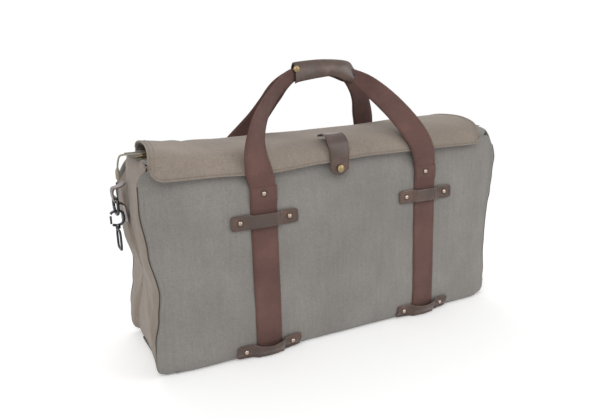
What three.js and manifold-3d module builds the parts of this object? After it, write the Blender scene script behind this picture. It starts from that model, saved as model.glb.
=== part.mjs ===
// Canvas weekender holdall: a soft box bag with a top flap, webbing girth straps, two carrying
// handles joined by a leather grip, leather strap keepers and end rings.
// Millimetres. +X runs along the bag, the front faces -Y, +Z is up, the bag stands on z = 0.
import * as THREE from 'three';
import { mergeVertices } from 'three/addons/utils/BufferGeometryUtils.js';
import Module from 'manifold-3d';

const wasm = await Module();
wasm.setup();

// ---- driving dimensions -------------------------------------------------------------------
const GAP = 0.3; // running and seam clearance between neighbouring pieces
const SEAM_TILT = 0.5; // more room where one of two seamed edges is cut at a slant
const LENGTH = 566; // over the two end panels
const DEPTH = 190; // over the front and back panels
const FRONT_HEIGHT = 272; // top edge of the front panel
const BACK_RISE = 8; // how much higher the back panel is
const BACK_HEIGHT = FRONT_HEIGHT + BACK_RISE; // top edge of the back panel
const CANVAS = 2.2; // two plies of waxed canvas
const FRONT_CORNER = 20; // radius under the front panel
const BACK_CORNER = 58; // radius under the back panel
const SHOULDER_DROP = 65;
const SHOULDER_HEIGHT = BACK_HEIGHT - SHOULDER_DROP; // where the back panel starts to lean in
const SHOULDER_LEAN = 31; // how far the top of the back panel leans in
const LINING = 0.8;
const BOARD = 2.5; // base stiffener
const WEBBING = 2.2;
const WEBBING_WIDTH = 38;
const STRAP_SPACING = 264; // between the two girth straps
const STRAP_STOP = 36.8; // from the front's top edge down to the straps' ends
const STRAP_END = FRONT_HEIGHT - STRAP_STOP; // top end of the girth straps
const STRAP_RIVET_INSET = 6.6;
const STRAP_RIVET_HEIGHT = STRAP_END - STRAP_RIVET_INSET;
const LEATHER = 2;
const KEEPER_HEIGHT = 20;
const KEEPER_BULGE = 4; // how far a keeper stands off the panel over its strap
const KEEPER_FOOT = 24; // flat stitched square at each end of a keeper
const KEEPER_RAMP = 5.5; // from a foot to the edge of the strap
const KEEPER_LENGTH = WEBBING_WIDTH + 2 * (KEEPER_RAMP + KEEPER_FOOT);
const KEEPER_RIVET_INSET = 13.2;
const KEEPER_RIVET_SPACING = KEEPER_LENGTH - 2 * KEEPER_RIVET_INSET;
const UPPER_KEEPER_DROP = 41.2; // from the straps' ends to the middle of the upper keepers
const UPPER_KEEPER_HEIGHT = STRAP_END - UPPER_KEEPER_DROP;
const RIVET_RADIUS = 3.6;
const RIVET_RISE = 2;
const ZIP_LINE = -40; // the straight front row of the zip
const ZIP_RISE = 1.5;
const ZIP_HEIGHT = BACK_HEIGHT + ZIP_RISE; // underside of the top strips at the zip
const ZIP_TAPE = 1.2;
const ZIP_TAPE_WIDTH = 12;
const ZIP_REACH = 250; // the two rows part between -ZIP_REACH and +ZIP_REACH
const MOUTH = 50; // widest gap between the two rows of the zip
const SLIDER_LENGTH = 13;
const SLIDER_WIDTH = 10;
const SLIDER_RISE = 5;
const SLIDER_START = -266;
const FLAP_LENGTH = 514;
const FLAP = 3; // two plies and their hems
const FLAP_ARCH = 17.5; // how far the flap stands over the zip
const FLAP_CREST = ZIP_HEIGHT + FLAP_ARCH;
const FLAP_LAP = 10; // how far the flap hangs over the front panel
const FLAP_LIP = FRONT_HEIGHT - FLAP_LAP; // lowest edge of the flap
const TAB_WIDTH = 30;
const TAB_CENTRE = -21;
const TAB_LAP = 22; // how far the tab hangs below the flap
const TAB_TIP = FLAP_LIP - TAB_LAP;
const SNAP_INSET = 10;
const SNAP_HEIGHT = TAB_TIP + SNAP_INSET;
const SNAP_RADIUS = 5.4;
const GRIP_LENGTH = 106;
const GRIP_RISE = 31;
const GRIP_CENTRE = 16;
const HANDLE_RISE = 160.8; // from the straps' ends to the top of the grip
const GRIP_TOP = STRAP_END + HANDLE_RISE;
const GRIP_LEATHER = 2.2;
const GRIP_SNAP_INSET = 13;
const RING_INSET = 50; // from the front's top edge down to the end rings' bars
const RING_HEIGHT = FRONT_HEIGHT - RING_INSET;
const RING_CENTRE = 26; // across the end panel
const RING_STAND = 14; // from the end panel to the ring
const RING_WIRE = 2;
const RING_WIDTH = 31;
const RING_DROP = 23;
const END_TAB_WIDTH = 21;
const HOOK_WIRE = 1.9;
const HOOK_HALF_WIDTH = 8.5;
const HOOK_DROP = 20;
const EYE_HALF_WIDTH = 11;
const EYE_DROP = 27;
const EYE_WIRE = 1.6;

// ---- worked out from them -----------------------------------------------------------------
const { lerp } = THREE.MathUtils;
const FRONT = -DEPTH / 2;
const BACK = DEPTH / 2;
const END = LENGTH / 2;
const BASE = WEBBING + GAP + 0.1; // body underside, a strap's thickness above the floor
const BACK_TOP = BACK - SHOULDER_LEAN;
const WRAP_END = END - CANVAS - GAP; // where the front, base and back panels stop
const RIB = WEBBING / 2;
const PIVOT_FRONT = { y: FRONT - GAP - WEBBING - RIB, z: STRAP_END + GAP + RIB };

// ---- colours ------------------------------------------------------------------------------
const finish = (color, roughness, metalness = 0) =>
  new THREE.MeshStandardMaterial({ color, roughness, metalness });
const CANVAS_FINISH = finish(0x8a8377, 0.9);
const LINING_FINISH = finish(0x6f675a, 0.9);
const WEBBING_FINISH = finish(0x6a4b46, 0.85);
const LEATHER_FINISH = finish(0x4b3a2f, 0.5);
const BRASS_FINISH = finish(0x8c7850, 0.35, 1);
const NICKEL_FINISH = finish(0xb3a49c, 0.3, 1);
const STEEL_FINISH = finish(0x3b3a3b, 0.3, 1);
const TAPE_FINISH = finish(0x5a5247, 0.85);
const CORD_FINISH = finish(0x8a8374, 0.8);
const BOARD_FINISH = finish(0x55514b, 0.8);

const group = new THREE.Group();
const add = (name, geometry, material) => {
  const mesh = new THREE.Mesh(geometry, material);
  mesh.name = name;
  group.add(mesh);
  return mesh;
};

// ---- geometry helpers ---------------------------------------------------------------------
const v2 = (y, z) => new THREE.Vector2(y, z);
const v3 = (x, y, z) => new THREE.Vector3(x, y, z);

// One closed solid from a geometry, for joining and cutting.
function toSolid(geometry) {
  const bare = geometry.clone();
  bare.deleteAttribute('normal');
  bare.deleteAttribute('uv');
  const merged = mergeVertices(bare.index ? bare.toNonIndexed() : bare, 1e-4);
  const mesh = new wasm.Mesh({
    numProp: 3,
    vertProperties: new Float32Array(merged.attributes.position.array),
    triVerts: new Uint32Array(merged.index.array),
  });
  return new wasm.Manifold(mesh);
}

function fromSolid(solid) {
  const mesh = solid.getMesh();
  const geometry = new THREE.BufferGeometry();
  geometry.setAttribute('position', new THREE.BufferAttribute(new Float32Array(mesh.vertProperties), 3));
  geometry.setIndex(new THREE.BufferAttribute(new Uint32Array(mesh.triVerts), 1));
  return geometry;
}

const join = (a, b) => fromSolid(toSolid(a).add(toSolid(b)));
const cut = (a, b) => fromSolid(toSolid(a).subtract(toSolid(b)));
const common = (a, b) => fromSolid(toSolid(a).intersect(toSolid(b)));

// Faces turned outwards, whichever way the rings ran.
function outward(geometry) {
  const at = geometry.attributes.position;
  const index = geometry.index;
  const [a, b, c] = [v3(0, 0, 0), v3(0, 0, 0), v3(0, 0, 0)];
  let volume = 0;
  for (let i = 0; i < index.count; i += 3) {
    a.fromBufferAttribute(at, index.getX(i));
    b.fromBufferAttribute(at, index.getX(i + 1));
    c.fromBufferAttribute(at, index.getX(i + 2));
    volume += a.dot(b.cross(c));
  }
  if (volume < 0) {
    for (let i = 0; i < index.count; i += 3) {
      const first = index.getX(i);
      index.setX(i, index.getX(i + 1));
      index.setX(i + 1, first);
    }
  }
  return geometry;
}

// A skin through rings of equal count: capped at both ends, or closed on itself.
function loft(rings, closed = false) {
  const count = rings[0].length;
  const positions = rings.flat().flatMap((p) => [p.x, p.y, p.z]);
  const index = [];
  const spans = closed ? rings.length : rings.length - 1;
  for (let r = 0; r < spans; r += 1) {
    const next = (r + 1) % rings.length;
    for (let k = 0; k < count; k += 1) {
      const j = (k + 1) % count;
      const [p, q] = [r * count + k, r * count + j];
      const [s, t] = [next * count + k, next * count + j];
      index.push(p, q, t, p, t, s);
    }
  }
  if (!closed) {
    const last = (rings.length - 1) * count;
    for (let k = 1; k < count - 1; k += 1) {
      index.push(0, k + 1, k);
      index.push(last, last + k, last + k + 1);
    }
  }
  const geometry = new THREE.BufferGeometry();
  geometry.setAttribute('position', new THREE.Float32BufferAttribute(positions, 3));
  geometry.setIndex(index);
  return outward(geometry);
}

// A round wire along a closed curve.
function wireLoop(curve, radius, steps, sides = 8) {
  const rings = [];
  const side = v3(0, 0, 0);
  const plane = curve.plane;
  for (let i = 0; i < steps; i += 1) {
    const centre = curve.getPointAt(i / steps);
    side.crossVectors(curve.getTangentAt(i / steps), plane).normalize();
    rings.push(ringAt(centre, side, plane, radius, sides));
  }
  return loft(rings, true);
}

// A round wire along an open curve that lies in one plane.
function wire(curve, plane, radius, steps, sides = 8) {
  const rings = [];
  for (let i = 0; i <= steps; i += 1) {
    const side = v3(0, 0, 0).crossVectors(curve.getTangentAt(i / steps), plane).normalize();
    rings.push(ringAt(curve.getPointAt(i / steps), side, plane, radius, sides));
  }
  return loft(rings);
}

function ringAt(centre, side, up, radius, sides) {
  const ring = [];
  for (let k = 0; k < sides; k += 1) {
    const turn = (2 * Math.PI * k) / sides;
    const point = centre.clone();
    point.addScaledVector(side, radius * Math.cos(turn)).addScaledVector(up, radius * Math.sin(turn));
    ring.push(point);
  }
  return ring;
}

// A polyline moved sideways by a distance, mitred at its bends.
function offsetLine(points, distance) {
  const normal = (a, b) => {
    const way = b.clone().sub(a).normalize();
    return v2(way.y, -way.x);
  };
  return points.map((point, i) => {
    const before = normal(points[Math.max(i - 1, 0)], points[Math.max(i, 1)]);
    const last = points.length - 1;
    const after = normal(points[Math.min(i, last - 1)], points[Math.min(i + 1, last)]);
    const mitre = before.clone().add(after).normalize();
    return point.clone().addScaledVector(mitre, distance / mitre.dot(before));
  });
}

// A flat outline in Y and Z, pushed along X from x0 to x1.
function alongX(shape, x0, x1) {
  const geometry = new THREE.ExtrudeGeometry(shape, { depth: x1 - x0, bevelEnabled: false, curveSegments: 8 });
  const axes = new THREE.Matrix4().makeBasis(v3(0, 1, 0), v3(0, 0, 1), v3(1, 0, 0));
  return geometry.applyMatrix4(axes).translate(x0, 0, 0);
}

// A flat outline in X and Z, pushed along Y from y0 to y1.
function alongY(shape, y0, y1) {
  const geometry = new THREE.ExtrudeGeometry(shape, { depth: y1 - y0, bevelEnabled: false, curveSegments: 8 });
  return geometry.rotateX(Math.PI / 2).translate(0, y1, 0);
}

// A sheet that follows a line in Y and Z, between two offsets from it.
function band(line, inner, outer, x0, x1) {
  const outline = [...offsetLine(line, outer), ...offsetLine(line, inner).reverse()];
  return alongX(new THREE.Shape(outline), x0, x1);
}

const arc = (centre, radius, from, to, steps) => {
  const points = [];
  for (let i = 0; i <= steps; i += 1) {
    const turn = THREE.MathUtils.degToRad(from + ((to - from) * i) / steps);
    points.push(v2(centre.x + radius * Math.cos(turn), centre.y + radius * Math.sin(turn)));
  }
  return points;
};

// A round part turned about its own axis, set at a point with its axis along a direction.
function turned(profile, at, direction, segments = 12) {
  const geometry = new THREE.LatheGeometry(profile.map(([r, h]) => v2(r, h)), segments);
  const merged = toSolid(geometry);
  const turn = new THREE.Quaternion().setFromUnitVectors(v3(0, 1, 0), direction.clone().normalize());
  const placed = fromSolid(merged).applyQuaternion(turn).translate(at.x, at.y, at.z);
  return outward(placed);
}

const domeProfile = (radius, rise) => [
  [0, 0],
  [radius, 0],
  [radius, rise * 0.3],
  [radius * 0.72, rise * 0.8],
  [0, rise],
];

// ---- the body's outline, front edge down, under the base and up the back ---------------------
const FRONT_CENTRE = v2(FRONT + FRONT_CORNER, BASE + FRONT_CORNER);
const BACK_CENTRE = v2(BACK - BACK_CORNER, BASE + BACK_CORNER);
const frontLine = [v2(FRONT, FRONT_HEIGHT), ...arc(FRONT_CENTRE, FRONT_CORNER, 180, 270, 5)];
const backLine = [
  ...arc(BACK_CENTRE, BACK_CORNER, 270, 360, 7),
  v2(BACK, SHOULDER_HEIGHT),
  v2(BACK_TOP, BACK_HEIGHT),
];

// Where the back panel is at a height above its shoulder.
const backAt = (z) => BACK - (SHOULDER_LEAN * (z - SHOULDER_HEIGHT)) / (BACK_HEIGHT - SHOULDER_HEIGHT);

function bodyPanels() {
  const seam = v2(GAP / 2, 0);
  const front = [...frontLine.slice(0, -1), frontLine.at(-1).clone().sub(seam)];
  const back = [backLine[0].clone().add(seam), ...backLine.slice(1)];
  add('front_panel', band(front, -CANVAS, 0, -WRAP_END, WRAP_END), CANVAS_FINISH);
  add('back_panel', band(back, -CANVAS, 0, -WRAP_END, WRAP_END), CANVAS_FINISH);

  // The base sags to the floor between and beyond the two girth straps.
  const [y0, y1] = [frontLine.at(-1).x + GAP / 2 + SEAM_TILT, backLine[0].x - GAP / 2 - SEAM_TILT];
  let base = box(-WRAP_END, y0, BASE, WRAP_END, y1, BASE + CANVAS);
  const groove = WEBBING_WIDTH / 2 + GAP + 2;
  const inner = STRAP_SPACING / 2 - groove;
  const outer = STRAP_SPACING / 2 + groove;
  for (const [x0, x1] of [[-WRAP_END, -outer], [-inner, inner], [outer, WRAP_END]]) {
    base = join(base, box(x0, y0, 0, x1, y1, BASE + CANVAS / 2));
  }
  add('base_panel', base, CANVAS_FINISH);

  const outline = [...frontLine, ...backLine, v2(0, ZIP_HEIGHT + CANVAS), v2(ZIP_LINE, ZIP_HEIGHT + CANVAS)];
  add('end_panel_left', alongX(new THREE.Shape(outline), -END, -END + CANVAS), CANVAS_FINISH);
  add('end_panel_right', alongX(new THREE.Shape(outline), END - CANVAS, END), CANVAS_FINISH);
}

function box(x0, y0, z0, x1, y1, z1) {
  const geometry = new THREE.BoxGeometry(x1 - x0, y1 - y0, z1 - z0);
  return geometry.translate((x0 + x1) / 2, (y0 + y1) / 2, (z0 + z1) / 2);
}

function liningAndBoard() {
  const whole = [...frontLine, ...backLine];
  const rim = FRONT_HEIGHT - 8;
  const trimmed = (line) => line.map((p) => v2(p.x, Math.min(p.y, rim)));
  const outside = trimmed(offsetLine(whole, -CANVAS - GAP));
  const inside = offsetLine(whole, -CANVAS - GAP - LINING);
  const shell = alongX(new THREE.Shape(outside), -WRAP_END + GAP, WRAP_END - GAP);
  const hollow = alongX(new THREE.Shape(inside), -WRAP_END + GAP + LINING, WRAP_END - GAP - LINING);
  add('lining', cut(shell, hollow), LINING_FINISH);
  const floor = BASE + CANVAS + GAP + LINING + GAP;
  const reach = WRAP_END - GAP - LINING - 3;
  const board = box(-reach, FRONT_CENTRE.x, floor, reach, BACK_CENTRE.x, floor + BOARD);
  add('base_board', board, BOARD_FINISH);
}

// ---- top: strips, zip and flap ------------------------------------------------------------
const backRow = (x) => {
  const open = Math.abs(x) < ZIP_REACH ? Math.cos((Math.PI * x) / (2 * ZIP_REACH)) ** 2 : 0;
  return ZIP_LINE + GAP + MOUTH * open;
};

// A flat piece seen from above, between a curved edge and another edge.
function planPiece(reach, near, far, z0, z1) {
  const steps = 20;
  const xs = [];
  for (let i = 0; i <= steps; i += 1) xs.push(-reach + (2 * reach * i) / steps);
  const outline = [...xs.map((x) => v2(x, near(x))), ...xs.reverse().map((x) => v2(x, far(x)))];
  const geometry = new THREE.ExtrudeGeometry(new THREE.Shape(outline), { depth: z1 - z0, bevelEnabled: false });
  return geometry.translate(0, 0, z0);
}

function topAndZip() {
  const seamY = ZIP_LINE - ZIP_TAPE_WIDTH;
  const strip = [v2(seamY - GAP - SEAM_TILT, ZIP_HEIGHT + CANVAS), v2(FRONT + 0.1, FRONT_HEIGHT + CANVAS + GAP)];
  add('top_strip_front', band(strip, -CANVAS, 0, -WRAP_END, WRAP_END), CANVAS_FINISH);
  const tapeReach = WRAP_END - GAP;
  const [t0, t1] = [ZIP_HEIGHT, ZIP_HEIGHT + ZIP_TAPE];
  const far = (x) => backRow(x) + ZIP_TAPE_WIDTH;
  add('zip_tape_front', planPiece(tapeReach, () => seamY, () => ZIP_LINE, t0, t1), TAPE_FINISH);
  add('zip_tape_back', planPiece(tapeReach, backRow, far, t0, t1), TAPE_FINISH);
  const topBack = planPiece(WRAP_END, (x) => far(x) + GAP, () => BACK_TOP, t0, t0 + CANVAS);
  add('top_strip_back', topBack, CANVAS_FINISH);

  const seat = t1 + GAP;
  const sliderY = ZIP_LINE + GAP / 2;
  const nose = box(
    SLIDER_START - SLIDER_LENGTH / 2, sliderY - SLIDER_WIDTH / 2, seat,
    SLIDER_START + SLIDER_LENGTH / 2, sliderY + SLIDER_WIDTH / 2, seat + SLIDER_RISE * 0.5,
  );
  const bridge = box(
    SLIDER_START - SLIDER_LENGTH / 3, sliderY - 1.5, seat + 0.2,
    SLIDER_START + SLIDER_LENGTH / 3, sliderY + 1.5, seat + SLIDER_RISE,
  );
  add('zip_slider', join(nose, bridge), STEEL_FINISH);

  // The limp cord pull hangs over the end of the bag.
  const tip = v3(-END - 16, sliderY + 24, ZIP_HEIGHT - 28);
  const cord = new THREE.CatmullRomCurve3([
    v3(SLIDER_START - SLIDER_LENGTH / 2 - GAP - 1.3, sliderY, seat + 2.6),
    v3(-END, sliderY + 3, seat + 3.4),
    v3(-END - 5, sliderY + 8, ZIP_HEIGHT - 4),
    v3(-END - 10, sliderY + 15, ZIP_HEIGHT - 15),
    tip,
  ]);
  const steps = 14;
  const rings = [];
  for (let i = 0; i <= steps; i += 1) {
    const t = i / steps;
    const way = cord.getTangentAt(t);
    const side = v3(0, 0, 1).cross(way).normalize();
    const up = side.clone().cross(way).normalize();
    const swell = t > 0.6 ? 1.3 + 2.4 * Math.sin((Math.PI * (t - 0.6)) / 0.44) : 1.3;
    rings.push(ringAt(cord.getPointAt(t), side, up, swell, 8));
  }
  add('zip_pull', loft(rings), CORD_FINISH);
}

const lipInner = FRONT - GAP - FLAP;
const flapLine = [
  v2(BACK_TOP - 1, ZIP_HEIGHT + CANVAS + GAP + 0.5 + FLAP),
  v2(BACK_TOP - 18, FLAP_CREST - 6),
  v2(BACK_TOP - 52, FLAP_CREST),
  v2(FRONT + 55, FLAP_CREST - 2),
  v2(FRONT + 15, FLAP_CREST - 7.5),
  v2(FRONT + 2, FLAP_CREST - 12),
  v2(lipInner - 1.4, FLAP_CREST - 20),
  v2(lipInner - 3, FLAP_CREST - 29),
  v2(lipInner - 3, FLAP_LIP),
];

function flapAndTab() {
  add('flap', band(flapLine, -FLAP, 0, -FLAP_LENGTH / 2, FLAP_LENGTH / 2), CANVAS_FINISH);

  const lift = GAP + 0.3;
  const over = offsetLine(flapLine, lift).slice(4);
  const tabLine = [
    v2(FRONT + 29, flapLine[3].y - 3.6 + lift),
    ...over.slice(0, -1),
    v2(over.at(-1).x, FLAP_LIP - 2),
    v2(over.at(-1).x + 2, SNAP_HEIGHT + 4),
    v2(over.at(-1).x + 2.6, TAB_TIP),
  ];
  const x0 = TAB_CENTRE - TAB_WIDTH / 2;
  const x1 = TAB_CENTRE + TAB_WIDTH / 2;
  const strip = band(tabLine, 0, LEATHER, x0, x1);
  const rounded = new THREE.Shape();
  rounded.moveTo(x0 - 1, FLAP_CREST + 20);
  rounded.lineTo(x0 - 1, TAB_TIP + TAB_WIDTH / 2);
  rounded.absarc(TAB_CENTRE, TAB_TIP + TAB_WIDTH / 2 + 0.2, TAB_WIDTH / 2, Math.PI, 2 * Math.PI, false);
  rounded.lineTo(x1 + 1, FLAP_CREST + 20);
  add('snap_tab', common(strip, alongY(rounded, FRONT - 30, 0)), LEATHER_FINISH);

  const face = tabLine.at(-2).x - LEATHER;
  const capProfile = domeProfile(SNAP_RADIUS, 3);
  add('snap_cap', turned(capProfile, v3(TAB_CENTRE, face - GAP - 0.3, SNAP_HEIGHT), v3(0, -1, 0)), BRASS_FINISH);
  const rise = FRONT - GAP - (face + LEATHER) - 0.8;
  const studProfile = [[0, 0], [4.6, 0], [4.6, 1], [2.4, 1.2], [2.4, rise], [0, rise]];
  add('snap_stud', turned(studProfile, v3(TAB_CENTRE, FRONT - GAP, SNAP_HEIGHT), v3(0, -1, 0)), BRASS_FINISH);
}

// ---- webbing ------------------------------------------------------------------------------
const SIDES = [['left', -1], ['right', 1]];

function girthStraps() {
  const back = [...backLine.slice(0, -1), v2(backAt(STRAP_END + 1.6), STRAP_END + 1.6)];
  const line = [v2(FRONT, STRAP_END), ...frontLine.slice(1), ...back];
  for (const [side, sign] of SIDES) {
    const centre = (sign * STRAP_SPACING) / 2;
    const strap = band(line, GAP, GAP + WEBBING, centre - WEBBING_WIDTH / 2, centre + WEBBING_WIDTH / 2);
    add(`girth_strap_${side}`, strap, WEBBING_FINISH);
  }
}

// The back handle's foot, clear of the strap end on the leaning part of the back panel.
const LEAN = Math.atan2(SHOULDER_LEAN, BACK_HEIGHT - SHOULDER_HEIGHT);
const BACK_OFF = GAP + WEBBING + RIB;
const PIVOT_BACK = {
  y: backAt(STRAP_END + 1.6) - Math.sin(LEAN) * (GAP + RIB) + Math.cos(LEAN) * BACK_OFF,
  z: STRAP_END + 1.6 + Math.cos(LEAN) * (GAP + RIB) + Math.sin(LEAN) * BACK_OFF,
};
const GRIP_Y = (PIVOT_FRONT.y + PIVOT_BACK.y) / 2;
const RIBBON_STAND = GAP / 2 + RIB + 1; // from the grip's middle plane to each ribbon's middle
const GRIP_INSIDE = RIBBON_STAND + RIB + GAP + 1.4; // from the middle plane to the leather
const GRIP_BAND = 16; // webbing is folded to this width inside the grip
const GRIP_MIDDLE = GRIP_TOP - 13;

// A handle ribbon: x, y measured outward from the grip's middle plane, z, and the webbing's width.
function ribbon(pivot, sign) {
  const foot = STRAP_SPACING / 2;
  const far = Math.abs(pivot.y - GRIP_Y);
  const rise = pivot.z;
  const end = GRIP_LENGTH / 2;
  const left = (share) => lerp(-foot, GRIP_CENTRE - end - 9, share); // from a foot towards the grip
  const right = (share) => lerp(foot, GRIP_CENTRE + end + 8, share);
  const stops = [
    [-foot, far, rise, WEBBING_WIDTH, 0],
    [-foot - 1, far + 4.4, rise + 27, WEBBING_WIDTH, 0],
    [-foot + 1, far + 2.6, rise + 55, WEBBING_WIDTH, 20],
    [left(0.175), far - 22, rise + 82, 34, 44],
    [left(0.453), far - 49, rise + 107, 30, 44],
    [left(0.72), far - 70, rise + 125, 26, 36],
    [GRIP_CENTRE - end - 9, RIBBON_STAND + 2.8, GRIP_MIDDLE - 9, 17, 6],
    [GRIP_CENTRE - end + 5, RIBBON_STAND, GRIP_MIDDLE - 2, GRIP_BAND, 0],
    [GRIP_CENTRE - end + 24, RIBBON_STAND, GRIP_MIDDLE, GRIP_BAND, 0],
    [GRIP_CENTRE + end - 24, RIBBON_STAND, GRIP_MIDDLE, GRIP_BAND, 0],
    [GRIP_CENTRE + end - 5, RIBBON_STAND, GRIP_MIDDLE - 2, GRIP_BAND, 0],
    [GRIP_CENTRE + end + 8, RIBBON_STAND + 2.8, GRIP_MIDDLE - 9, 17, 6],
    [right(0.727), far - 58, rise + 114, 27, 36],
    [right(0.49), far - 36, rise + 93, 31, 44],
    [right(0.236), far - 10, rise + 67, 36, 38],
    [right(0.09), far + 4.2, rise + 42, WEBBING_WIDTH, 8],
    [foot, far + 4.4, rise + 22, WEBBING_WIDTH, 0],
    [foot, far, rise, WEBBING_WIDTH, 0],
  ];
  const path = new THREE.CatmullRomCurve3(stops.map(([x, y, z]) => v3(x, GRIP_Y + sign * y, z)));
  const looks = new THREE.CatmullRomCurve3(stops.map(([, , , width, lean]) => v3(width, lean, 0)));
  const steps = 3 * (stops.length - 1);
  const rings = [];
  for (let i = 0; i <= steps; i += 1) {
    const t = i / steps;
    const lean = THREE.MathUtils.degToRad(looks.getPoint(t).y);
    const facing = v3(0, sign * Math.cos(lean), Math.sin(lean));
    const ended = i === 0 || i === steps;
    const way = ended ? v3(0, 0, i === 0 ? 1 : -1) : path.getTangent(t);
    const across = way.clone().cross(facing).normalize().multiplyScalar(looks.getPoint(t).x / 2);
    const out = across.clone().normalize().cross(way).normalize().multiplyScalar(RIB);
    const centre = path.getPoint(t);
    rings.push([
      centre.clone().add(across).add(out),
      centre.clone().sub(across).add(out),
      centre.clone().sub(across).sub(out),
      centre.clone().add(across).sub(out),
    ]);
  }
  return loft(rings);
}

// Half of the leather grip: a shaped face with a lip that turns over the webbing.
function gripLeaf(sign) {
  const inner = GRIP_INSIDE;
  const outer = inner + GRIP_LEATHER;
  const seam = GAP / 2;
  const profile = [
    [seam, GRIP_TOP - GRIP_LEATHER], [inner - 1.4, GRIP_TOP - GRIP_LEATHER],
    [inner, GRIP_TOP - GRIP_LEATHER - 1.4], [inner, GRIP_TOP - GRIP_RISE - 2],
    [outer, GRIP_TOP - GRIP_RISE - 2], [outer, GRIP_TOP - 2.4], [outer - 1, GRIP_TOP - 0.6],
    [outer - 2.6, GRIP_TOP], [seam, GRIP_TOP],
  ];
  const section = new THREE.Shape(profile.map(([y, z]) => v2(GRIP_Y + sign * y, z)));
  const [x0, x1] = [GRIP_CENTRE - GRIP_LENGTH / 2, GRIP_CENTRE + GRIP_LENGTH / 2];
  const wall = alongX(section, x0, x1);
  const low = GRIP_TOP - GRIP_RISE;
  const face = new THREE.Shape();
  face.moveTo(x0, low);
  face.quadraticCurveTo(x0 + 34, low + 5, GRIP_CENTRE + 8, low + 9);
  face.quadraticCurveTo(x1 - 28, low + 7, x1, low);
  face.lineTo(x1, GRIP_TOP - 14);
  face.absarc(x1 - 14, GRIP_TOP - 14 + 0.4, 14, 0, Math.PI / 2, false);
  face.absarc(x0 + 12, GRIP_TOP - 12 + 0.4, 12, Math.PI / 2, Math.PI, false);
  return common(wall, alongY(face, GRIP_Y - 20, GRIP_Y + 20));
}

function handles() {
  add('handle_front', ribbon(PIVOT_FRONT, -1), WEBBING_FINISH);
  add('handle_back', ribbon(PIVOT_BACK, 1), WEBBING_FINISH);
  add('grip_leaf_front', gripLeaf(-1), LEATHER_FINISH);
  add('grip_leaf_back', gripLeaf(1), LEATHER_FINISH);
  const face = GRIP_Y - GRIP_INSIDE - GRIP_LEATHER - GAP;
  const reach = GRIP_LENGTH / 2 - GRIP_SNAP_INSET;
  for (const [side, sign] of SIDES) {
    const at = v3(GRIP_CENTRE + sign * reach, face, GRIP_TOP - GRIP_SNAP_INSET);
    add(`grip_snap_${side}`, turned(domeProfile(SNAP_RADIUS - 0.6, 2.4), at, v3(0, -1, 0)), BRASS_FINISH);
  }
}

// ---- leather keepers and rivets -----------------------------------------------------------
// A keeper in its own frame: length along X, height along Z, standing out along -Y from y = 0.
function keeperShape() {
  const half = KEEPER_LENGTH / 2;
  const foot = half - KEEPER_FOOT;
  const ramp = 5;
  const line = [
    v2(-half, 0), v2(-foot, 0), v2(-foot + ramp, -KEEPER_BULGE),
    v2(foot - ramp, -KEEPER_BULGE), v2(foot, 0), v2(half, 0),
  ];
  const outline = [...line, ...offsetLine(line, LEATHER).reverse()];
  const geometry = new THREE.ExtrudeGeometry(new THREE.Shape(outline), { depth: KEEPER_HEIGHT, bevelEnabled: false });
  return geometry.translate(0, 0, -KEEPER_HEIGHT / 2);
}

function keeper(name, centreX, surface, outwardTilt, facing) {
  const place = new THREE.Group();
  place.position.set(centreX, surface.x, surface.y);
  place.rotation.set(outwardTilt, 0, facing > 0 ? Math.PI : 0, 'XYZ');
  group.add(place);
  const strap = new THREE.Mesh(keeperShape().translate(0, -GAP, 0), LEATHER_FINISH);
  strap.name = `keeper_${name}`;
  place.add(strap);
  for (const [side, sign] of SIDES) {
    const at = v3((sign * KEEPER_RIVET_SPACING) / 2, -GAP - LEATHER - GAP, 0);
    const head = turned(domeProfile(RIVET_RADIUS, RIVET_RISE), at, v3(0, -1, 0), 10);
    const rivet = new THREE.Mesh(head, NICKEL_FINISH);
    rivet.name = `rivet_${name}_${side}`;
    place.add(rivet);
  }
}

function keepersAndRivets() {
  const tiltFront = THREE.MathUtils.degToRad(26);
  const tiltBack = THREE.MathUtils.degToRad(35);
  const onArc = (centre, radius, tilt, sign) =>
    v2(centre.x + sign * radius * Math.cos(tilt), centre.y - radius * Math.sin(tilt));
  for (const [side, sign] of SIDES) {
    const x = (sign * STRAP_SPACING) / 2;
    keeper(`front_upper_${side}`, x, v2(FRONT, UPPER_KEEPER_HEIGHT), 0, -1);
    keeper(`back_upper_${side}`, x, v2(BACK, UPPER_KEEPER_HEIGHT), 0, 1);
    keeper(`front_lower_${side}`, x, onArc(FRONT_CENTRE, FRONT_CORNER, tiltFront, -1), tiltFront, -1);
    keeper(`back_lower_${side}`, x, onArc(BACK_CENTRE, BACK_CORNER, tiltBack, 1), -tiltBack, 1);

    const head = domeProfile(RIVET_RADIUS, RIVET_RISE);
    const frontAt = v3(x, FRONT - GAP - WEBBING - GAP, STRAP_RIVET_HEIGHT);
    add(`strap_rivet_front_${side}`, turned(head, frontAt, v3(0, -1, 0), 10), NICKEL_FINISH);
    const off = GAP + WEBBING + GAP;
    const backAtRivet = v3(
      x, backAt(STRAP_RIVET_HEIGHT) + off * Math.cos(LEAN), STRAP_RIVET_HEIGHT + off * Math.sin(LEAN),
    );
    const backWay = v3(0, Math.cos(LEAN), Math.sin(LEAN));
    add(`strap_rivet_back_${side}`, turned(head, backAtRivet, backWay, 10), NICKEL_FINISH);
  }
}

// ---- end rings and the swivel hook --------------------------------------------------------
const RING_X = END + RING_STAND;

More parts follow.
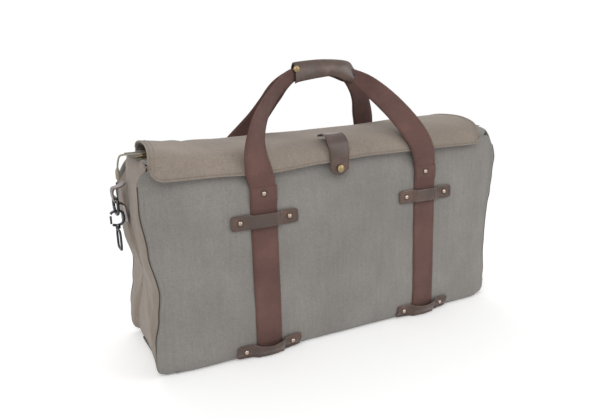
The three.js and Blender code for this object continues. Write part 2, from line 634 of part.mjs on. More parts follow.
function endTab(sign) {
  const wall = END + GAP;
  const strip = box(
    Math.min(sign * wall, sign * (wall + LEATHER)), RING_CENTRE - END_TAB_WIDTH / 2, RING_HEIGHT - 36,
    Math.max(sign * wall, sign * (wall + LEATHER)), RING_CENTRE + END_TAB_WIDTH / 2, RING_HEIGHT + 22,
  );
  const loopShape = (half) => {
    const shape = new THREE.Shape();
    shape.moveTo(wall + 0.5, RING_HEIGHT - half);
    shape.lineTo(RING_X, RING_HEIGHT - half);
    shape.absarc(RING_X, RING_HEIGHT, half, -Math.PI / 2, Math.PI / 2, false);
    shape.lineTo(wall + 0.5, RING_HEIGHT + half);
    return shape;
  };
  const clear = RING_WIRE + 0.6;
  const outerLoop = loopShape(clear + LEATHER);
  const hole = new THREE.Path();
  hole.moveTo(wall + LEATHER + 3, RING_HEIGHT - clear);
  hole.lineTo(RING_X, RING_HEIGHT - clear);
  hole.absarc(RING_X, RING_HEIGHT, clear, -Math.PI / 2, Math.PI / 2, false);
  hole.lineTo(wall + LEATHER + 3, RING_HEIGHT + clear);
  outerLoop.holes.push(hole);
  const [y0, y1] = [RING_CENTRE - END_TAB_WIDTH / 2, RING_CENTRE + END_TAB_WIDTH / 2];
  let loop = alongY(outerLoop, y0, y1);
  if (sign < 0) loop = loop.rotateZ(Math.PI).translate(0, 2 * RING_CENTRE, 0);
  return join(strip, loop);
}

// A D-shaped ring in a plane across the bag, hanging from its straight bar.
class DLoop extends THREE.Curve {
  constructor(x) {
    super();
    this.x = x;
    this.plane = v3(1, 0, 0);
  }
  getPoint(t, target = v3(0, 0, 0)) {
    const half = RING_WIDTH / 2;
    const turn = 2 * Math.PI * t;
    const squared = (value) => Math.sign(value) * Math.abs(value) ** 0.35;
    const drop = RING_DROP / 2;
    const lower = Math.sin(turn) < 0;
    const y = half * (lower ? Math.cos(turn) : squared(Math.cos(turn)));
    const z = drop * (lower ? Math.sin(turn) : squared(Math.sin(turn)));
    return target.set(this.x, RING_CENTRE + y, RING_HEIGHT - drop + z);
  }
}

function endRings() {
  for (const [side, sign] of SIDES) {
    add(`end_tab_${side}`, endTab(sign), LEATHER_FINISH);
    add(`ring_${side}`, wireLoop(new DLoop(sign * RING_X), RING_WIRE, 28), STEEL_FINISH);
  }
}

function swivelHook() {
  const x = -RING_X;
  const bow = RING_HEIGHT - RING_DROP; // middle of the ring's lowest wire
  const top = bow + RING_WIRE + HOOK_WIRE + 0.8;
  const bottom = top - HOOK_DROP;
  const plane = v3(0, 1, 0);
  const half = HOOK_HALF_WIDTH;
  const claw = new THREE.CatmullRomCurve3([
    v3(x - half, RING_CENTRE, top - 3.4),
    v3(x - half * 0.62, RING_CENTRE, top - 0.9),
    v3(x, RING_CENTRE, top),
    v3(x + half * 0.7, RING_CENTRE, top - 1.6),
    v3(x + half, RING_CENTRE, top - 6),
    v3(x + half, RING_CENTRE, bottom + 6),
    v3(x + half * 0.6, RING_CENTRE, bottom + 1.4),
    v3(x - 1, RING_CENTRE, bottom),
    v3(x - half + 1.6, RING_CENTRE, bottom + 1.2),
  ]);
  const neckProfile = [[0, 0], [3.4, 0], [3.4, 4.5], [2.6, 6], [0, 6]];
  const neck = turned(neckProfile, v3(x, RING_CENTRE, bottom - 4.6), v3(0, 0, 1), 12);
  add('hook_body', join(wire(claw, plane, HOOK_WIRE, 26), neck), STEEL_FINISH);

  const gateTop = top - 3.4 - HOOK_WIRE - GAP - 0.6;
  const gateFoot = bottom + HOOK_WIRE + GAP + 0.8;
  const gate = new THREE.CylinderGeometry(1.4, 1.4, gateTop - gateFoot, 10);
  gate.rotateX(Math.PI / 2).translate(x - half, RING_CENTRE, (gateTop + gateFoot) / 2);
  add('hook_gate', gate, STEEL_FINISH);

  const eyeTop = bottom - 4.6 - GAP - EYE_WIRE - 0.2;
  const eye = new THREE.CatmullRomCurve3([
    v3(x, RING_CENTRE, eyeTop),
    v3(x, RING_CENTRE + EYE_HALF_WIDTH * 0.8, eyeTop - 0.6),
    v3(x, RING_CENTRE + EYE_HALF_WIDTH, eyeTop - 4),
    v3(x, RING_CENTRE + EYE_HALF_WIDTH, eyeTop - EYE_DROP + 4),
    v3(x, RING_CENTRE + EYE_HALF_WIDTH * 0.8, eyeTop - EYE_DROP + 0.6),
    v3(x, RING_CENTRE, eyeTop - EYE_DROP),
    v3(x, RING_CENTRE - EYE_HALF_WIDTH * 0.8, eyeTop - EYE_DROP + 0.6),
    v3(x, RING_CENTRE - EYE_HALF_WIDTH, eyeTop - EYE_DROP + 4),
    v3(x, RING_CENTRE - EYE_HALF_WIDTH, eyeTop - 4),
    v3(x, RING_CENTRE - EYE_HALF_WIDTH * 0.8, eyeTop - 0.6),
  ], true);
  eye.plane = v3(1, 0, 0);
  add('hook_eye', wireLoop(eye, EYE_WIRE, 40), STEEL_FINISH);
}

bodyPanels();
liningAndBoard();
topAndZip();
flapAndTab();
girthStraps();
handles();
keepersAndRivets();
endRings();
swivelHook();

export default group;
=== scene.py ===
"""Canvas weekender holdall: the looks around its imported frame.

Lengths in the helpers are millimetres, written through MM; every finished mesh is in metres, in the
frame's own place. +X runs along the bag, the front faces -Y, +Z is up.
"""
import math

import bmesh
import bpy
from bpy.props import FloatProperty, FloatVectorProperty, PointerProperty
from mathutils import Matrix, Vector, noise


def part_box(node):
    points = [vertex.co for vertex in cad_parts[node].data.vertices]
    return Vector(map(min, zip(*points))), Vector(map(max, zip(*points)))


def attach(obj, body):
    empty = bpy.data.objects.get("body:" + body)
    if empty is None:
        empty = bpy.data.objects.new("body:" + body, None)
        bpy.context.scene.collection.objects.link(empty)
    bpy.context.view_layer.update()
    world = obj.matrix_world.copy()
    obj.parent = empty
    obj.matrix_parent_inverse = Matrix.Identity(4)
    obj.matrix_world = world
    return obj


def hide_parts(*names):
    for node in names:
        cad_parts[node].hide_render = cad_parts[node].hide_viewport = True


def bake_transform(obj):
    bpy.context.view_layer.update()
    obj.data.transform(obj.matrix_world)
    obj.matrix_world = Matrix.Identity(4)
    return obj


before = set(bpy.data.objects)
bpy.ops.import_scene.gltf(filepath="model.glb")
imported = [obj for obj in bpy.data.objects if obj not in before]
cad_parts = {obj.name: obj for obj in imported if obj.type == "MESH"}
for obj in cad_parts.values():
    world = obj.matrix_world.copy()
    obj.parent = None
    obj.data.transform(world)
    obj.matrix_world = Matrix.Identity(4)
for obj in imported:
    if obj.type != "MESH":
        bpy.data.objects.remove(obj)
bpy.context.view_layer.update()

bl_info = {
    "name": "Canvas Weekender Holdall",
    "version": (1, 0, 0),
    "blender": (4, 5, 0),
    "location": "3D View > Sidebar > Holdall",
    "description": "Models a canvas travel holdall around its frame",
    "category": "Object",
}

MM = 0.001


def corners(node):
    """A frame node's lowest and highest corner, in millimetres."""
    low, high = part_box(node)
    return Vector(low) / MM, Vector(high) / MM


FRONT_BOX = corners("front_panel")
BACK_BOX = corners("back_panel")
END_BOX = corners("end_panel_right")
FLAP_BOX = corners("flap")
BASE_BOX = corners("base_panel")
STRAP_BOX = corners("girth_strap_right")
TAB_BOX = corners("snap_tab")
GRIP_BOX = corners("grip_leaf_front")

END = END_BOX[1].x
FRONT = FRONT_BOX[0].y
BACK = BACK_BOX[1].y
FRONT_TOP = FRONT_BOX[1].z
BACK_TOP = BACK_BOX[1].z
BACK_TOP_Y = corners("top_strip_back")[1].y
SHOULDER = 215.0
FLOOR_GAP = 0.6
STRAP_X = (STRAP_BOX[0].x + STRAP_BOX[1].x) / 2
STRAP_WIDTH = STRAP_BOX[1].x - STRAP_BOX[0].x
ZIP_Y = corners("zip_tape_front")[1].y
ZIP_Z = corners("zip_tape_front")[1].z
SIDES = (("left", -1), ("right", 1))


# ---- sizes and colours a user would change ---------------------------------------------------
class HoldallSizes(bpy.types.PropertyGroup):
    puff: FloatProperty(name="Puff", description="How far the canvas swells between its seams, in mm",
                        default=5.0, min=0, max=9)
    wrinkle: FloatProperty(name="Wrinkle", description="Height of the soft folds in the canvas, in mm",
                           default=3.0, min=0, max=4)
    stitch_length: FloatProperty(name="Stitch length", description="Length of one stitch, in mm",
                                 default=2.6, min=1, max=6)
    stitch_pitch: FloatProperty(name="Stitch pitch", description="From one stitch to the next, in mm",
                                default=3.8, min=2, max=8)
    canvas_thickness: FloatProperty(name="Canvas thickness", description="Two plies of canvas, in mm",
                                    default=2.0, min=1, max=3)


def colour(label, default):
    return FloatVectorProperty(name=label, description="Base colour of the " + label.lower(),
                               subtype="COLOR", size=3, min=0, max=1, default=default)


class HoldallColours(bpy.types.PropertyGroup):
    canvas: colour("Canvas", (0.292, 0.276, 0.256))
    # Canvas painted lighter and warmer: painted light on the flap and end panels, which face the lamps
    rubbed: colour("Rubbed canvas", (0.335, 0.278, 0.230))
    lining: colour("Lining", (0.16, 0.14, 0.115))
    webbing: colour("Webbing", (0.142, 0.072, 0.061))
    leather: colour("Leather", (0.062, 0.031, 0.020))
    brass: colour("Brass", (0.36, 0.27, 0.14))
    nickel: colour("Nickel", (0.52, 0.41, 0.37))
    gunmetal: colour("Gunmetal", (0.07, 0.07, 0.075))
    tape: colour("Zip tape", (0.12, 0.105, 0.085))
    cord: colour("Cord", (0.3, 0.27, 0.21))
    thread: colour("Thread", (0.24, 0.21, 0.17))


def sizes():
    return bpy.context.scene.holdall_sizes


def colours():
    return bpy.context.scene.holdall_colours


# ---- materials -------------------------------------------------------------------------------
class Finish:
    """Builds one node material, a node at a time."""

    def __init__(self, name):
        self.material = bpy.data.materials.new(name)
        self.material.use_nodes = True
        self.tree = self.material.node_tree
        self.shader = self.tree.nodes["Principled BSDF"]

    def node(self, kind, **values):
        node = self.tree.nodes.new("ShaderNode" + kind)
        for key, value in values.items():
            if isinstance(value, (int, float, tuple)) and key in [s.name.replace(" ", "_") for s in node.inputs]:
                node.inputs[key.replace("_", " ")].default_value = value
            else:
                setattr(node, key, value)
        return node

    def link(self, source, output, target, socket):
        self.tree.links.new(source.outputs[output], target.inputs[socket])

    def place(self, source, scale=(1, 1, 1), turn=(0, 0, 0)):
        """Object or UV coordinates through a Mapping node."""
        where = self.node("TexCoord")
        mapping = self.node("Mapping")
        mapping.inputs["Scale"].default_value = scale
        mapping.inputs["Rotation"].default_value = turn
        self.link(where, source, mapping, "Vector")
        return mapping

    def noise(self, mapping, scale, detail=4.0, roughness=0.55):
        node = self.node("TexNoise", Scale=scale, Detail=detail, Roughness=roughness)
        self.link(mapping, "Vector", node, "Vector")
        return node

    def ramp(self, source, output, stops):
        ramp = self.node("ValToRGB")
        elements = ramp.color_ramp.elements
        while len(elements) < len(stops):
            elements.new(0.5)
        for element, (place, tone) in zip(elements, stops):
            element.position = place
            element.color = (*tone, 1.0) if isinstance(tone, tuple) else (tone, tone, tone, 1.0)
        self.link(source, output, ramp, "Fac")
        return ramp

    def mix(self, factor, a, b, blend="MIX", amount=0.5):
        """Mixes two colours, each a node or a colour."""
        mix = self.node("Mix", data_type="RGBA", blend_type=blend)
        for value, socket in ((a, 6), (b, 7)):
            if isinstance(value, tuple):
                mix.inputs[socket].default_value = (*value, 1.0)
            else:
                self.tree.links.new(self.colour_out(value), mix.inputs[socket])
        if factor is None:
            mix.inputs[0].default_value = amount
        else:
            self.tree.links.new(factor.outputs[0], mix.inputs[0])
        return mix

    @staticmethod
    def colour_out(node):
        return node.outputs[2] if node.bl_idname == "ShaderNodeMix" else node.outputs["Color"]

    def base(self, node):
        self.tree.links.new(self.colour_out(node), self.shader.inputs["Base Color"])

    def bump(self, heights):
        """Chains bumps: each is a node, its output, a strength and a height in metres."""
        normal = None
        for source, output, strength, distance in heights:
            bump = self.node("Bump")
            bump.inputs["Strength"].default_value = strength
            bump.inputs["Distance"].default_value = distance
            self.link(source, output, bump, "Height")
            if normal is not None:
                self.link(normal, "Normal", bump, "Normal")
            normal = bump
        self.link(normal, "Normal", self.shader, "Normal")


def shade(tone, factor):
    return tuple(min(1.0, channel * factor) for channel in tone)


def canvas_material(name, tone):
    """Waxed canvas: a plain weave with slubs, cloudy wax marks and paler rubbed places."""
    finish = Finish(name)
    object_space = finish.place("Object")
    clouds = finish.noise(object_space, 9.0, 5.0, 0.62)
    streaks = finish.noise(finish.place("Object", (60, 60, 6)), 4.0, 3.0)
    slubs = finish.noise(finish.place("Object", (260, 420, 1100)), 1.0, 3.0, 0.75)
    fill = finish.noise(finish.place("Object", (1100, 1100, 240)), 1.0, 3.0, 0.75)
    speckle = finish.noise(object_space, 1400.0, 2.0, 0.8)
    cloudy = finish.ramp(clouds, "Fac", [(0.3, shade(tone, 0.86)), (0.55, tone), (0.75, shade(tone, 1.14))])
    flecked = finish.ramp(slubs, "Fac", [(0.3, 0.78), (0.68, 1.0)])
    flecked_up = finish.ramp(fill, "Fac", [(0.3, 0.82), (0.68, 1.0)])
    speckled = finish.ramp(speckle, "Fac", [(0.32, 0.6), (0.62, 1.0)])
    streaked = finish.ramp(streaks, "Fac", [(0.3, 0.9), (0.7, 1.0)])
    colour_mix = finish.mix(None, cloudy, flecked, "MULTIPLY", 0.8)
    colour_mix = finish.mix(None, colour_mix, flecked_up, "MULTIPLY", 0.8)
    colour_mix = finish.mix(None, colour_mix, speckled, "MULTIPLY", 0.75)
    finish.base(finish.mix(None, colour_mix, streaked, "MULTIPLY", 0.9))
    finish.shader.inputs["Roughness"].default_value = 0.86
    finish.shader.inputs["Specular IOR Level"].default_value = 0.25
    finish.shader.inputs["Sheen Weight"].default_value = 0.12
    finish.shader.inputs["Sheen Roughness"].default_value = 0.5
    finish.bump([(clouds, "Fac", 0.25, 0.004), (streaks, "Fac", 0.2, 0.0015),
                 (slubs, "Fac", 0.35, 0.0004), (fill, "Fac", 0.35, 0.0004)])
    return finish.material


def webbing_material(name, tone):
    """Heavy cotton webbing in a herringbone twill. The UV map runs in metres: along, across."""
    finish = Finish(name)
    uv = finish.place("UV")
    twill = finish.node("TexWave", wave_type="BANDS", bands_direction="DIAGONAL")
    twill.inputs["Scale"].default_value = 190.0
    twill.inputs["Distortion"].default_value = 1.4
    twill.inputs["Detail Scale"].default_value = 3.0
    finish.link(uv, "Vector", twill, "Vector")
    ribs = finish.node("TexWave", wave_type="BANDS", bands_direction="Y")
    ribs.inputs["Scale"].default_value = 150.0
    ribs.inputs["Distortion"].default_value = 0.5
    finish.link(uv, "Vector", ribs, "Vector")
    fuzz = finish.noise(finish.place("Object"), 420.0, 3.0, 0.7)
    wear = finish.noise(finish.place("Object"), 22.0, 4.0, 0.6)
    worn = finish.ramp(wear, "Fac", [(0.3, shade(tone, 0.8)), (0.55, tone), (0.8, shade(tone, 1.3))])
    woven = finish.ramp(twill, "Fac", [(0.2, 0.72), (0.8, 1.0)])
    ribbed = finish.ramp(ribs, "Fac", [(0.1, 0.8), (0.7, 1.0)])
    mixed = finish.mix(None, worn, woven, "MULTIPLY", 0.75)
    finish.base(finish.mix(None, mixed, ribbed, "MULTIPLY", 0.6))
    finish.shader.inputs["Roughness"].default_value = 0.8
    finish.shader.inputs["Specular IOR Level"].default_value = 0.3
    finish.shader.inputs["Sheen Weight"].default_value = 0.05
    finish.bump([(twill, "Fac", 0.6, 0.0005), (ribs, "Fac", 0.3, 0.0004), (fuzz, "Fac", 0.4, 0.0002)])
    return finish.material


def leather_material(name, tone):
    """Oiled full-grain leather: pebbled grain, fine creases, rubbed lighter patches and a soft gloss."""
    finish = Finish(name)
    object_space = finish.place("Object")
    grain = finish.node("TexVoronoi", feature="DISTANCE_TO_EDGE")
    grain.inputs["Scale"].default_value = 900.0
    finish.link(object_space, "Vector", grain, "Vector")
    pores = finish.noise(object_space, 700.0, 4.0, 0.7)
    pulls = finish.noise(object_space, 45.0, 6.0, 0.65)
    patches = finish.ramp(pulls, "Fac", [(0.32, shade(tone, 0.68)), (0.52, tone), (0.72, shade(tone, 1.9))])
    cracked = finish.ramp(grain, "Distance", [(0.0, 0.72), (0.12, 1.0)])
    finish.base(finish.mix(None, patches, cracked, "MULTIPLY", 0.7))
    dulled = finish.ramp(pulls, "Fac", [(0.3, 0.42), (0.75, 0.22)])
    finish.link(dulled, "Color", finish.shader, "Roughness")
    finish.shader.inputs["Specular IOR Level"].default_value = 0.6
    finish.shader.inputs["Coat Weight"].default_value = 0.22
    finish.shader.inputs["Coat Roughness"].default_value = 0.3
    finish.bump([(pulls, "Fac", 0.35, 0.0012), (grain, "Distance", 0.35, 0.0003), (pores, "Fac", 0.3, 0.00015)])
    return finish.material


def metal_material(name, tone, roughness, tarnish=0.6):
    """Plated metal, duller and darker in patches."""
    finish = Finish(name)
    object_space = finish.place("Object")
    patches = finish.noise(object_space, 260.0, 5.0, 0.65)
    toned = finish.ramp(patches, "Fac", [(0.35, shade(tone, tarnish)), (0.6, tone), (0.8, shade(tone, 1.15))])
    finish.base(toned)
    dulled = finish.ramp(patches, "Fac", [(0.3, roughness + 0.16), (0.7, roughness)])
    finish.link(dulled, "Color", finish.shader, "Roughness")
    finish.shader.inputs["Metallic"].default_value = 1.0
    finish.bump([(patches, "Fac", 0.15, 0.0002)])
    return finish.material


def plain_cloth_material(name, tone, scale=700.0, roughness=0.8):
    """Zip tape, thread and cord: a fine spun texture."""
    finish = Finish(name)
    fibres = finish.noise(finish.place("Object"), scale, 4.0, 0.7)
    finish.base(finish.ramp(fibres, "Fac", [(0.3, shade(tone, 0.75)), (0.7, shade(tone, 1.15))]))
    finish.shader.inputs["Roughness"].default_value = roughness
    finish.shader.inputs["Specular IOR Level"].default_value = 0.3
    finish.bump([(fibres, "Fac", 0.4, 0.0003)])
    return finish.material


_finishes = {}


def finish_of(kind):
    """Each material is made once, from the colours in the scene's settings."""
    if kind in _finishes:
        return _finishes[kind]
    tone = {name: tuple(getattr(colours(), name)) for name in HoldallColours.__annotations__}
    makers = {
        "canvas": lambda: canvas_material("waxed canvas", tone["canvas"]),
        # the same canvas with painted light: a lighter, warmer tone stands in for the light falling on the flap and
        # ends
        "rubbed": lambda: canvas_material("rubbed canvas", tone["rubbed"]),
        "lining": lambda: canvas_material("cotton lining", tone["lining"]),
        "webbing": lambda: webbing_material("twill webbing", tone["webbing"]),
        "leather": lambda: leather_material("oiled leather", tone["leather"]),
        "brass": lambda: metal_material("antique brass", tone["brass"], 0.3),
        "nickel": lambda: metal_material("worn nickel", tone["nickel"], 0.22),
        "copper": lambda: metal_material("copper burr", shade(tone["brass"], 0.32), 0.45),
        "gunmetal": lambda: metal_material("gunmetal plate", tone["gunmetal"], 0.2, 0.8),
        "tape": lambda: plain_cloth_material("zip tape", tone["tape"]),
        "cord": lambda: plain_cloth_material("pull cord", tone["cord"]),
        "thread": lambda: plain_cloth_material("canvas thread", tone["thread"], 1500.0),
        # seam shade: a near-black line that paints the shade in the crease of each seam
        "seam": lambda: plain_cloth_material("seam shadow thread", shade(tone["thread"], 0.22), 1500.0),
        "brown thread": lambda: plain_cloth_material("brown thread", shade(tone["leather"], 2.8), 1500.0),
        "board": lambda: plain_cloth_material("base board", shade(tone["lining"], 0.6), 200.0, 0.7),
    }
    _finishes[kind] = makers[kind]()
    return _finishes[kind]


# ---- mesh helpers ----------------------------------------------------------------------------
def smoothstep(low, high, value):
    t = min(1.0, max(0.0, (value - low) / (high - low)))
    return t * t * (3 - 2 * t)


def lerp(a, b, t):
    return a + (b - a) * t


def bell(centre, width, value):
    return math.exp(-(((value - centre) / width) ** 2))


def fold_noise(point, size, seed):
    """Smooth noise from -1 to 1 over features of a size in millimetres."""
    return noise.noise(Vector((point[0] / size + seed, point[1] / size, point[2] / size - seed)))


def between(table, value):
    """A smooth value from a short table of (place, value) pairs."""
    for (a, left), (b, right) in zip(table, table[1:]):
        if value <= b:
            return lerp(left, right, smoothstep(a, b, value))
    return table[-1][1]


def add_grid(bm, nu, nv, place, chart=None, weld=False):
    """A sheet of nu by nv faces whose points are placed by place(u, v), in millimetres."""
    made = bmesh.ops.create_grid(bm, x_segments=nu, y_segments=nv, size=0.5)["verts"]
    uv_layer = bm.loops.layers.uv.verify()
    flat = {vert: (vert.co.x + 0.5, vert.co.y + 0.5) for vert in made}
    faces = {face for vert in made for face in vert.link_faces}
    for face in faces:
        for loop in face.loops:
            u, v = flat[loop.vert]
            loop[uv_layer].uv = chart(u, v) if chart else (u, v)
    for vert, (u, v) in flat.items():
        vert.co = Vector(place(u, v)) * MM
    if weld:
        bmesh.ops.remove_doubles(bm, verts=made, dist=0.02 * MM)
    return made


def make_piece(name, bm, kind, body, replaces=(), thickness=0.0, offset=-1.0, levels=0, smooth=True,
               fix_normals=True):
    """Turns a bmesh into a finished object that rides on a body."""
    if fix_normals:
        bmesh.ops.recalc_face_normals(bm, faces=bm.faces)
    for face in bm.faces:
        face.smooth = smooth
    mesh = bpy.data.meshes.new(name)
    bm.to_mesh(mesh)
    bm.free()
    piece = bpy.data.objects.new(name, mesh)
    bpy.context.collection.objects.link(piece)
    mesh.materials.append(finish_of(kind))
    if thickness:
        solid = piece.modifiers.new("Thickness", "SOLIDIFY")
        solid.thickness = thickness * MM
        solid.offset = offset
        solid.use_even_offset = False
    if levels:
        fine = piece.modifiers.new("Smooth", "SUBSURF")
        fine.levels = levels
        fine.render_levels = levels
    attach(piece, body)
    if replaces:
        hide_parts(*replaces)
    return piece


def turn_to(direction):
    """The rotation that takes +Z to a direction."""
    return Vector((0, 0, 1)).rotation_difference(Vector(direction).normalized()).to_matrix().to_4x4()


def turned_bmesh(profile, steps=20):
    bm = bmesh.new()
    start = [bm.verts.new((r * MM, 0, h * MM)) for r, h in profile]
    edges = [bm.edges.new(pair) for pair in zip(start, start[1:])]
    bmesh.ops.spin(bm, geom=start + edges, axis=(0, 0, 1), cent=(0, 0, 0), steps=steps,
                   angle=math.tau, use_merge=True)
    bmesh.ops.remove_doubles(bm, verts=bm.verts, dist=0.005 * MM)
    bmesh.ops.recalc_face_normals(bm, faces=bm.faces)
    return bm


def join_bmesh(target, source, matrix):
    """Adds a copy of a small mesh to a bmesh, placed by a matrix."""
    mesh = bpy.data.meshes.new("part")
    source.to_mesh(mesh)
    mesh.transform(matrix)
    target.from_mesh(mesh)
    bpy.data.meshes.remove(mesh)


def add_tube(bm, centres, radius, sides=10, closed=False, flat=1.0, up=None):
    """A round or flattened bar along a list of points in millimetres."""
    count = len(centres)
    spans = count if closed else count - 1

    def way(i):
        a = centres[(i - 1) % count] if closed or i > 0 else centres[0]
        b = centres[(i + 1) % count] if closed or i < count - 1 else centres[-1]
        return (b - a).normalized()

    frames = []
    normal = up.normalized() if up else way(0).orthogonal().normalized()
    for i in range(count):
        tangent = way(i)
        normal = (normal - tangent * normal.dot(tangent)).normalized()
        frames.append((centres[i], normal, tangent.cross(normal).normalized()))

    def place(u, v):
        index = round(u * spans) % count
        centre, first, second = frames[index]
        turn = v * math.tau
        reach = radius(index / max(1, spans)) if callable(radius) else radius
        return centre + first * (reach * flat * math.cos(turn)) + second * (reach * math.sin(turn))

    made = add_grid(bm, spans, sides, place, weld=True)
    made = [vert for vert in made if vert.is_valid]
    if not closed:
        rims = [edge for edge in {e for v in made for e in v.link_edges} if edge.is_boundary]
        bmesh.ops.holes_fill(bm, edges=rims, sides=0)
    return made


def spline(points, count, closed=False):
    """Evenly stepped points on a smooth curve through a few points."""
    total = len(points)
    spans = total if closed else total - 1
    out = []
    for i in range(count + (0 if closed else 1)):
        place = spans * i / count
        k = min(int(place), spans - 1)
        t = place - k
        ring = [points[(k + j) % total] if closed else points[min(max(k + j, 0), total - 1)] for j in (-1, 0, 1, 2)]
        p0, p1, p2, p3 = ring
        out.append(0.5 * (2 * p1 + (p2 - p0) * t + (2 * p0 - 5 * p1 + 4 * p2 - p3) * t * t
                          + (3 * p1 - p0 - 3 * p2 + p3) * t ** 3))
    return out


def walk(points, pitch):
    """Points at an even pitch along a polyline, each with its direction."""
    out = []
    carry = pitch / 2
    for a, b in zip(points, points[1:]):
        step = b - a
        length = step.length
        if length < 1e-6:
            continue
        while carry < length:
            out.append((a + step * (carry / length), step / length))
            carry += pitch
        carry -= length
    return out


def add_stitches(bm, points, normals, lift=0.25, width=0.55):
    """A row of thread stitches along a line; normals is one direction or a function of a point."""
    seed = bmesh.new()
    bmesh.ops.create_uvsphere(seed, u_segments=6, v_segments=4, radius=1.0)
    for at, way in walk(points, sizes().stitch_pitch):
        out = normals(at) if callable(normals) else Vector(normals)
        side = way.cross(out).normalized()
        out = side.cross(way).normalized()
        length = sizes().stitch_length / 2
        basis = Matrix((way * length, side * width / 2, out * width / 2)).transposed() * MM
        matrix = Matrix.Translation((at + out * lift) * MM) @ basis.to_4x4()
        join_bmesh(bm, seed, matrix)
    seed.free()


# ---- the canvas body -------------------------------------------------------------------------
def strap_pull(x):
    """1 under either girth strap, where the webbing holds the canvas in, and 0 well away from them."""
    return max(bell(-STRAP_X, 26, x), bell(STRAP_X, 26, x))


def wrinkles(x, y, z, across=1.0):
    """Height of the soft folds at a place, in millimetres."""
    broad = fold_noise((x, y * 1.5, z * 1.2), 95, 3.1)
    slack = fold_noise((x * 0.6, y, z * 1.7), 42, 8.4)
    fine = fold_noise((x, y, z), 17, 5.7)
    return sizes().wrinkle * across * (0.62 * broad + 0.34 * slack + 0.12 * fine)


LEFT_EDGE = [(0, 283), (6, 289), (47, 285), (84, 278), (115, 274.5), (170, 284), (225, 290), (262, 289), (290, 284)]
RIGHT_EDGE = [(0, 262), (11, 267), (45, 265), (88, 262), (141, 266), (180, 274), (206, 278), (233, 281), (290, 282)]


def edge_reach(end, z):
    """How far along the bag its sewn edge lies at a height: slack at the waist, full at the top."""
    return between(LEFT_EDGE if end < 0 else RIGHT_EDGE, z)


def wall_y(side, x, z):
    """The face of the front (-1) or back (+1) wall, before folds."""
    if side < 0:
        flat = FRONT
    else:
        flat = BACK - (BACK - BACK_TOP_Y) * smoothstep(SHOULDER - 20, BACK_TOP + 8, z)
    top = FRONT_TOP if side < 0 else BACK_TOP
    height = min(1.0, max(0.0, z / top))
    dome = math.sin(math.pi * height) ** 0.7
    edge = 1 - smoothstep(0, 60, abs(x) - (END - 64))
    swell = sizes().puff * dome * edge * (1 - 0.75 * strap_pull(x))
    drawn = 7.0 * (1 - edge) ** 2
    lower = 7.0 * (1 - smoothstep(0, 17, z)) ** 1.6
    return flat + side * (swell - 2.2 - drawn - lower)


def wall_edge(side, end, z):
    """The edge of a wall at a height, with its rounded top and bottom corners."""
    reach = edge_reach(end, z) - (0 if side < 0 else 6)
    corner = (16 if end < 0 else 40) if side < 0 else 48
    top = FRONT_TOP if side < 0 else BACK_TOP
    into = min(1.0, max(0.0, (z - (top - corner)) / corner))
    foot = min(1.0, max(0.0, (30 - z) / 30))
    reach -= corner * 0.7 * (1 - math.sqrt(1 - into ** 2))
    reach -= 17 * (1 - math.sqrt(1 - foot ** 2))
    return reach


def wall_at(side, u, z):
    """A point on a wall's outside: u from -1 to 1 along the bag, at a height."""
    x = u * wall_edge(side, -1 if u < 0 else 1, z)
    fade = 1 - abs(u) ** 10
    pinch = 1.5 * math.sin(z / 7 + 3 * fold_noise((0, 0, z), 40, side)) * bell(0.985, 0.02, abs(u))
    folds = wrinkles(x, side * 80, z) * fade * (1 - 0.6 * strap_pull(x))
    return Vector((x, wall_y(side, x, z) + side * (folds + 0.5 * pinch), z))


def build_walls():
    for side, name, node in ((-1, "canvas_front", "front_panel"), (1, "canvas_back", "back_panel")):
        top = FRONT_TOP if side < 0 else BACK_TOP
        bm = bmesh.new()

        def place(u, v):
            z = lerp(FLOOR_GAP + 1.6, top - 1.0, v)
            at = wall_at(side, 2 * u - 1, z)
            at.z += 1.2 * fold_noise((at.x, 0, 0), 70, 1.0 + side) * smoothstep(0.9, 1, v)
            return at

        add_grid(bm, 140, 64, place, lambda u, v: (u * 2 * END * MM, v * top * MM))
        face_outwards(bm, (0, side, 0))
        make_piece(name, bm, "canvas", "bag", (node,), thickness=sizes().canvas_thickness,
                   fix_normals=False)


def face_outwards(bm, direction):
    """Turns an open sheet round if it looks away from a direction."""
    bm.normal_update()
    way = Vector(direction)
    if sum(face.normal.dot(way) * face.calc_area() for face in bm.faces) < 0:
        bmesh.ops.reverse_faces(bm, faces=bm.faces)


def end_rim(end, t):
    """The end panel's sewn edge: up the front wall, over the top, down the back and along the foot."""
    low = 3.0
    front_top = FRONT_TOP - (12 if end < 0 else 30)
    back_top = BACK_TOP - 44
    stand = Vector((end * 0.8, 1.0, 0)), Vector((end * 0.8, -1.0, 0))
    if t <= 0.34:
        return wall_at(-1, end, lerp(low, front_top, t / 0.34)) + stand[0]
    if 0.56 <= t <= 0.88:
        return wall_at(1, end, lerp(back_top, low, (t - 0.56) / 0.32)) + stand[1]
    if t > 0.88:
        a = wall_at(1, end, low) + stand[1]
        b = wall_at(-1, end, low) + stand[0]
        share = (t - 0.88) / 0.12
        sunk = Vector((0, 0, -1.2 * math.sin(math.pi * share)))
        return a.lerp(b, share) + sunk
    share = (t - 0.34) / 0.22
    a = wall_at(-1, end, front_top) + stand[0]
    b = wall_at(1, end, back_top) + stand[1]
    crown = FRONT_TOP + 8
    over = [a, Vector((end * (END - 6), a.y + 10, crown - 8)), Vector((end * (END - 7), -56, crown)),
            Vector((end * (END - 8), 0, crown + 1)), Vector((end * (END - 9), 36, crown - 3)),
            Vector((end * (END - 12), 62, crown - 22)), b]
    return spline(over, 44)[round(share * 44)]


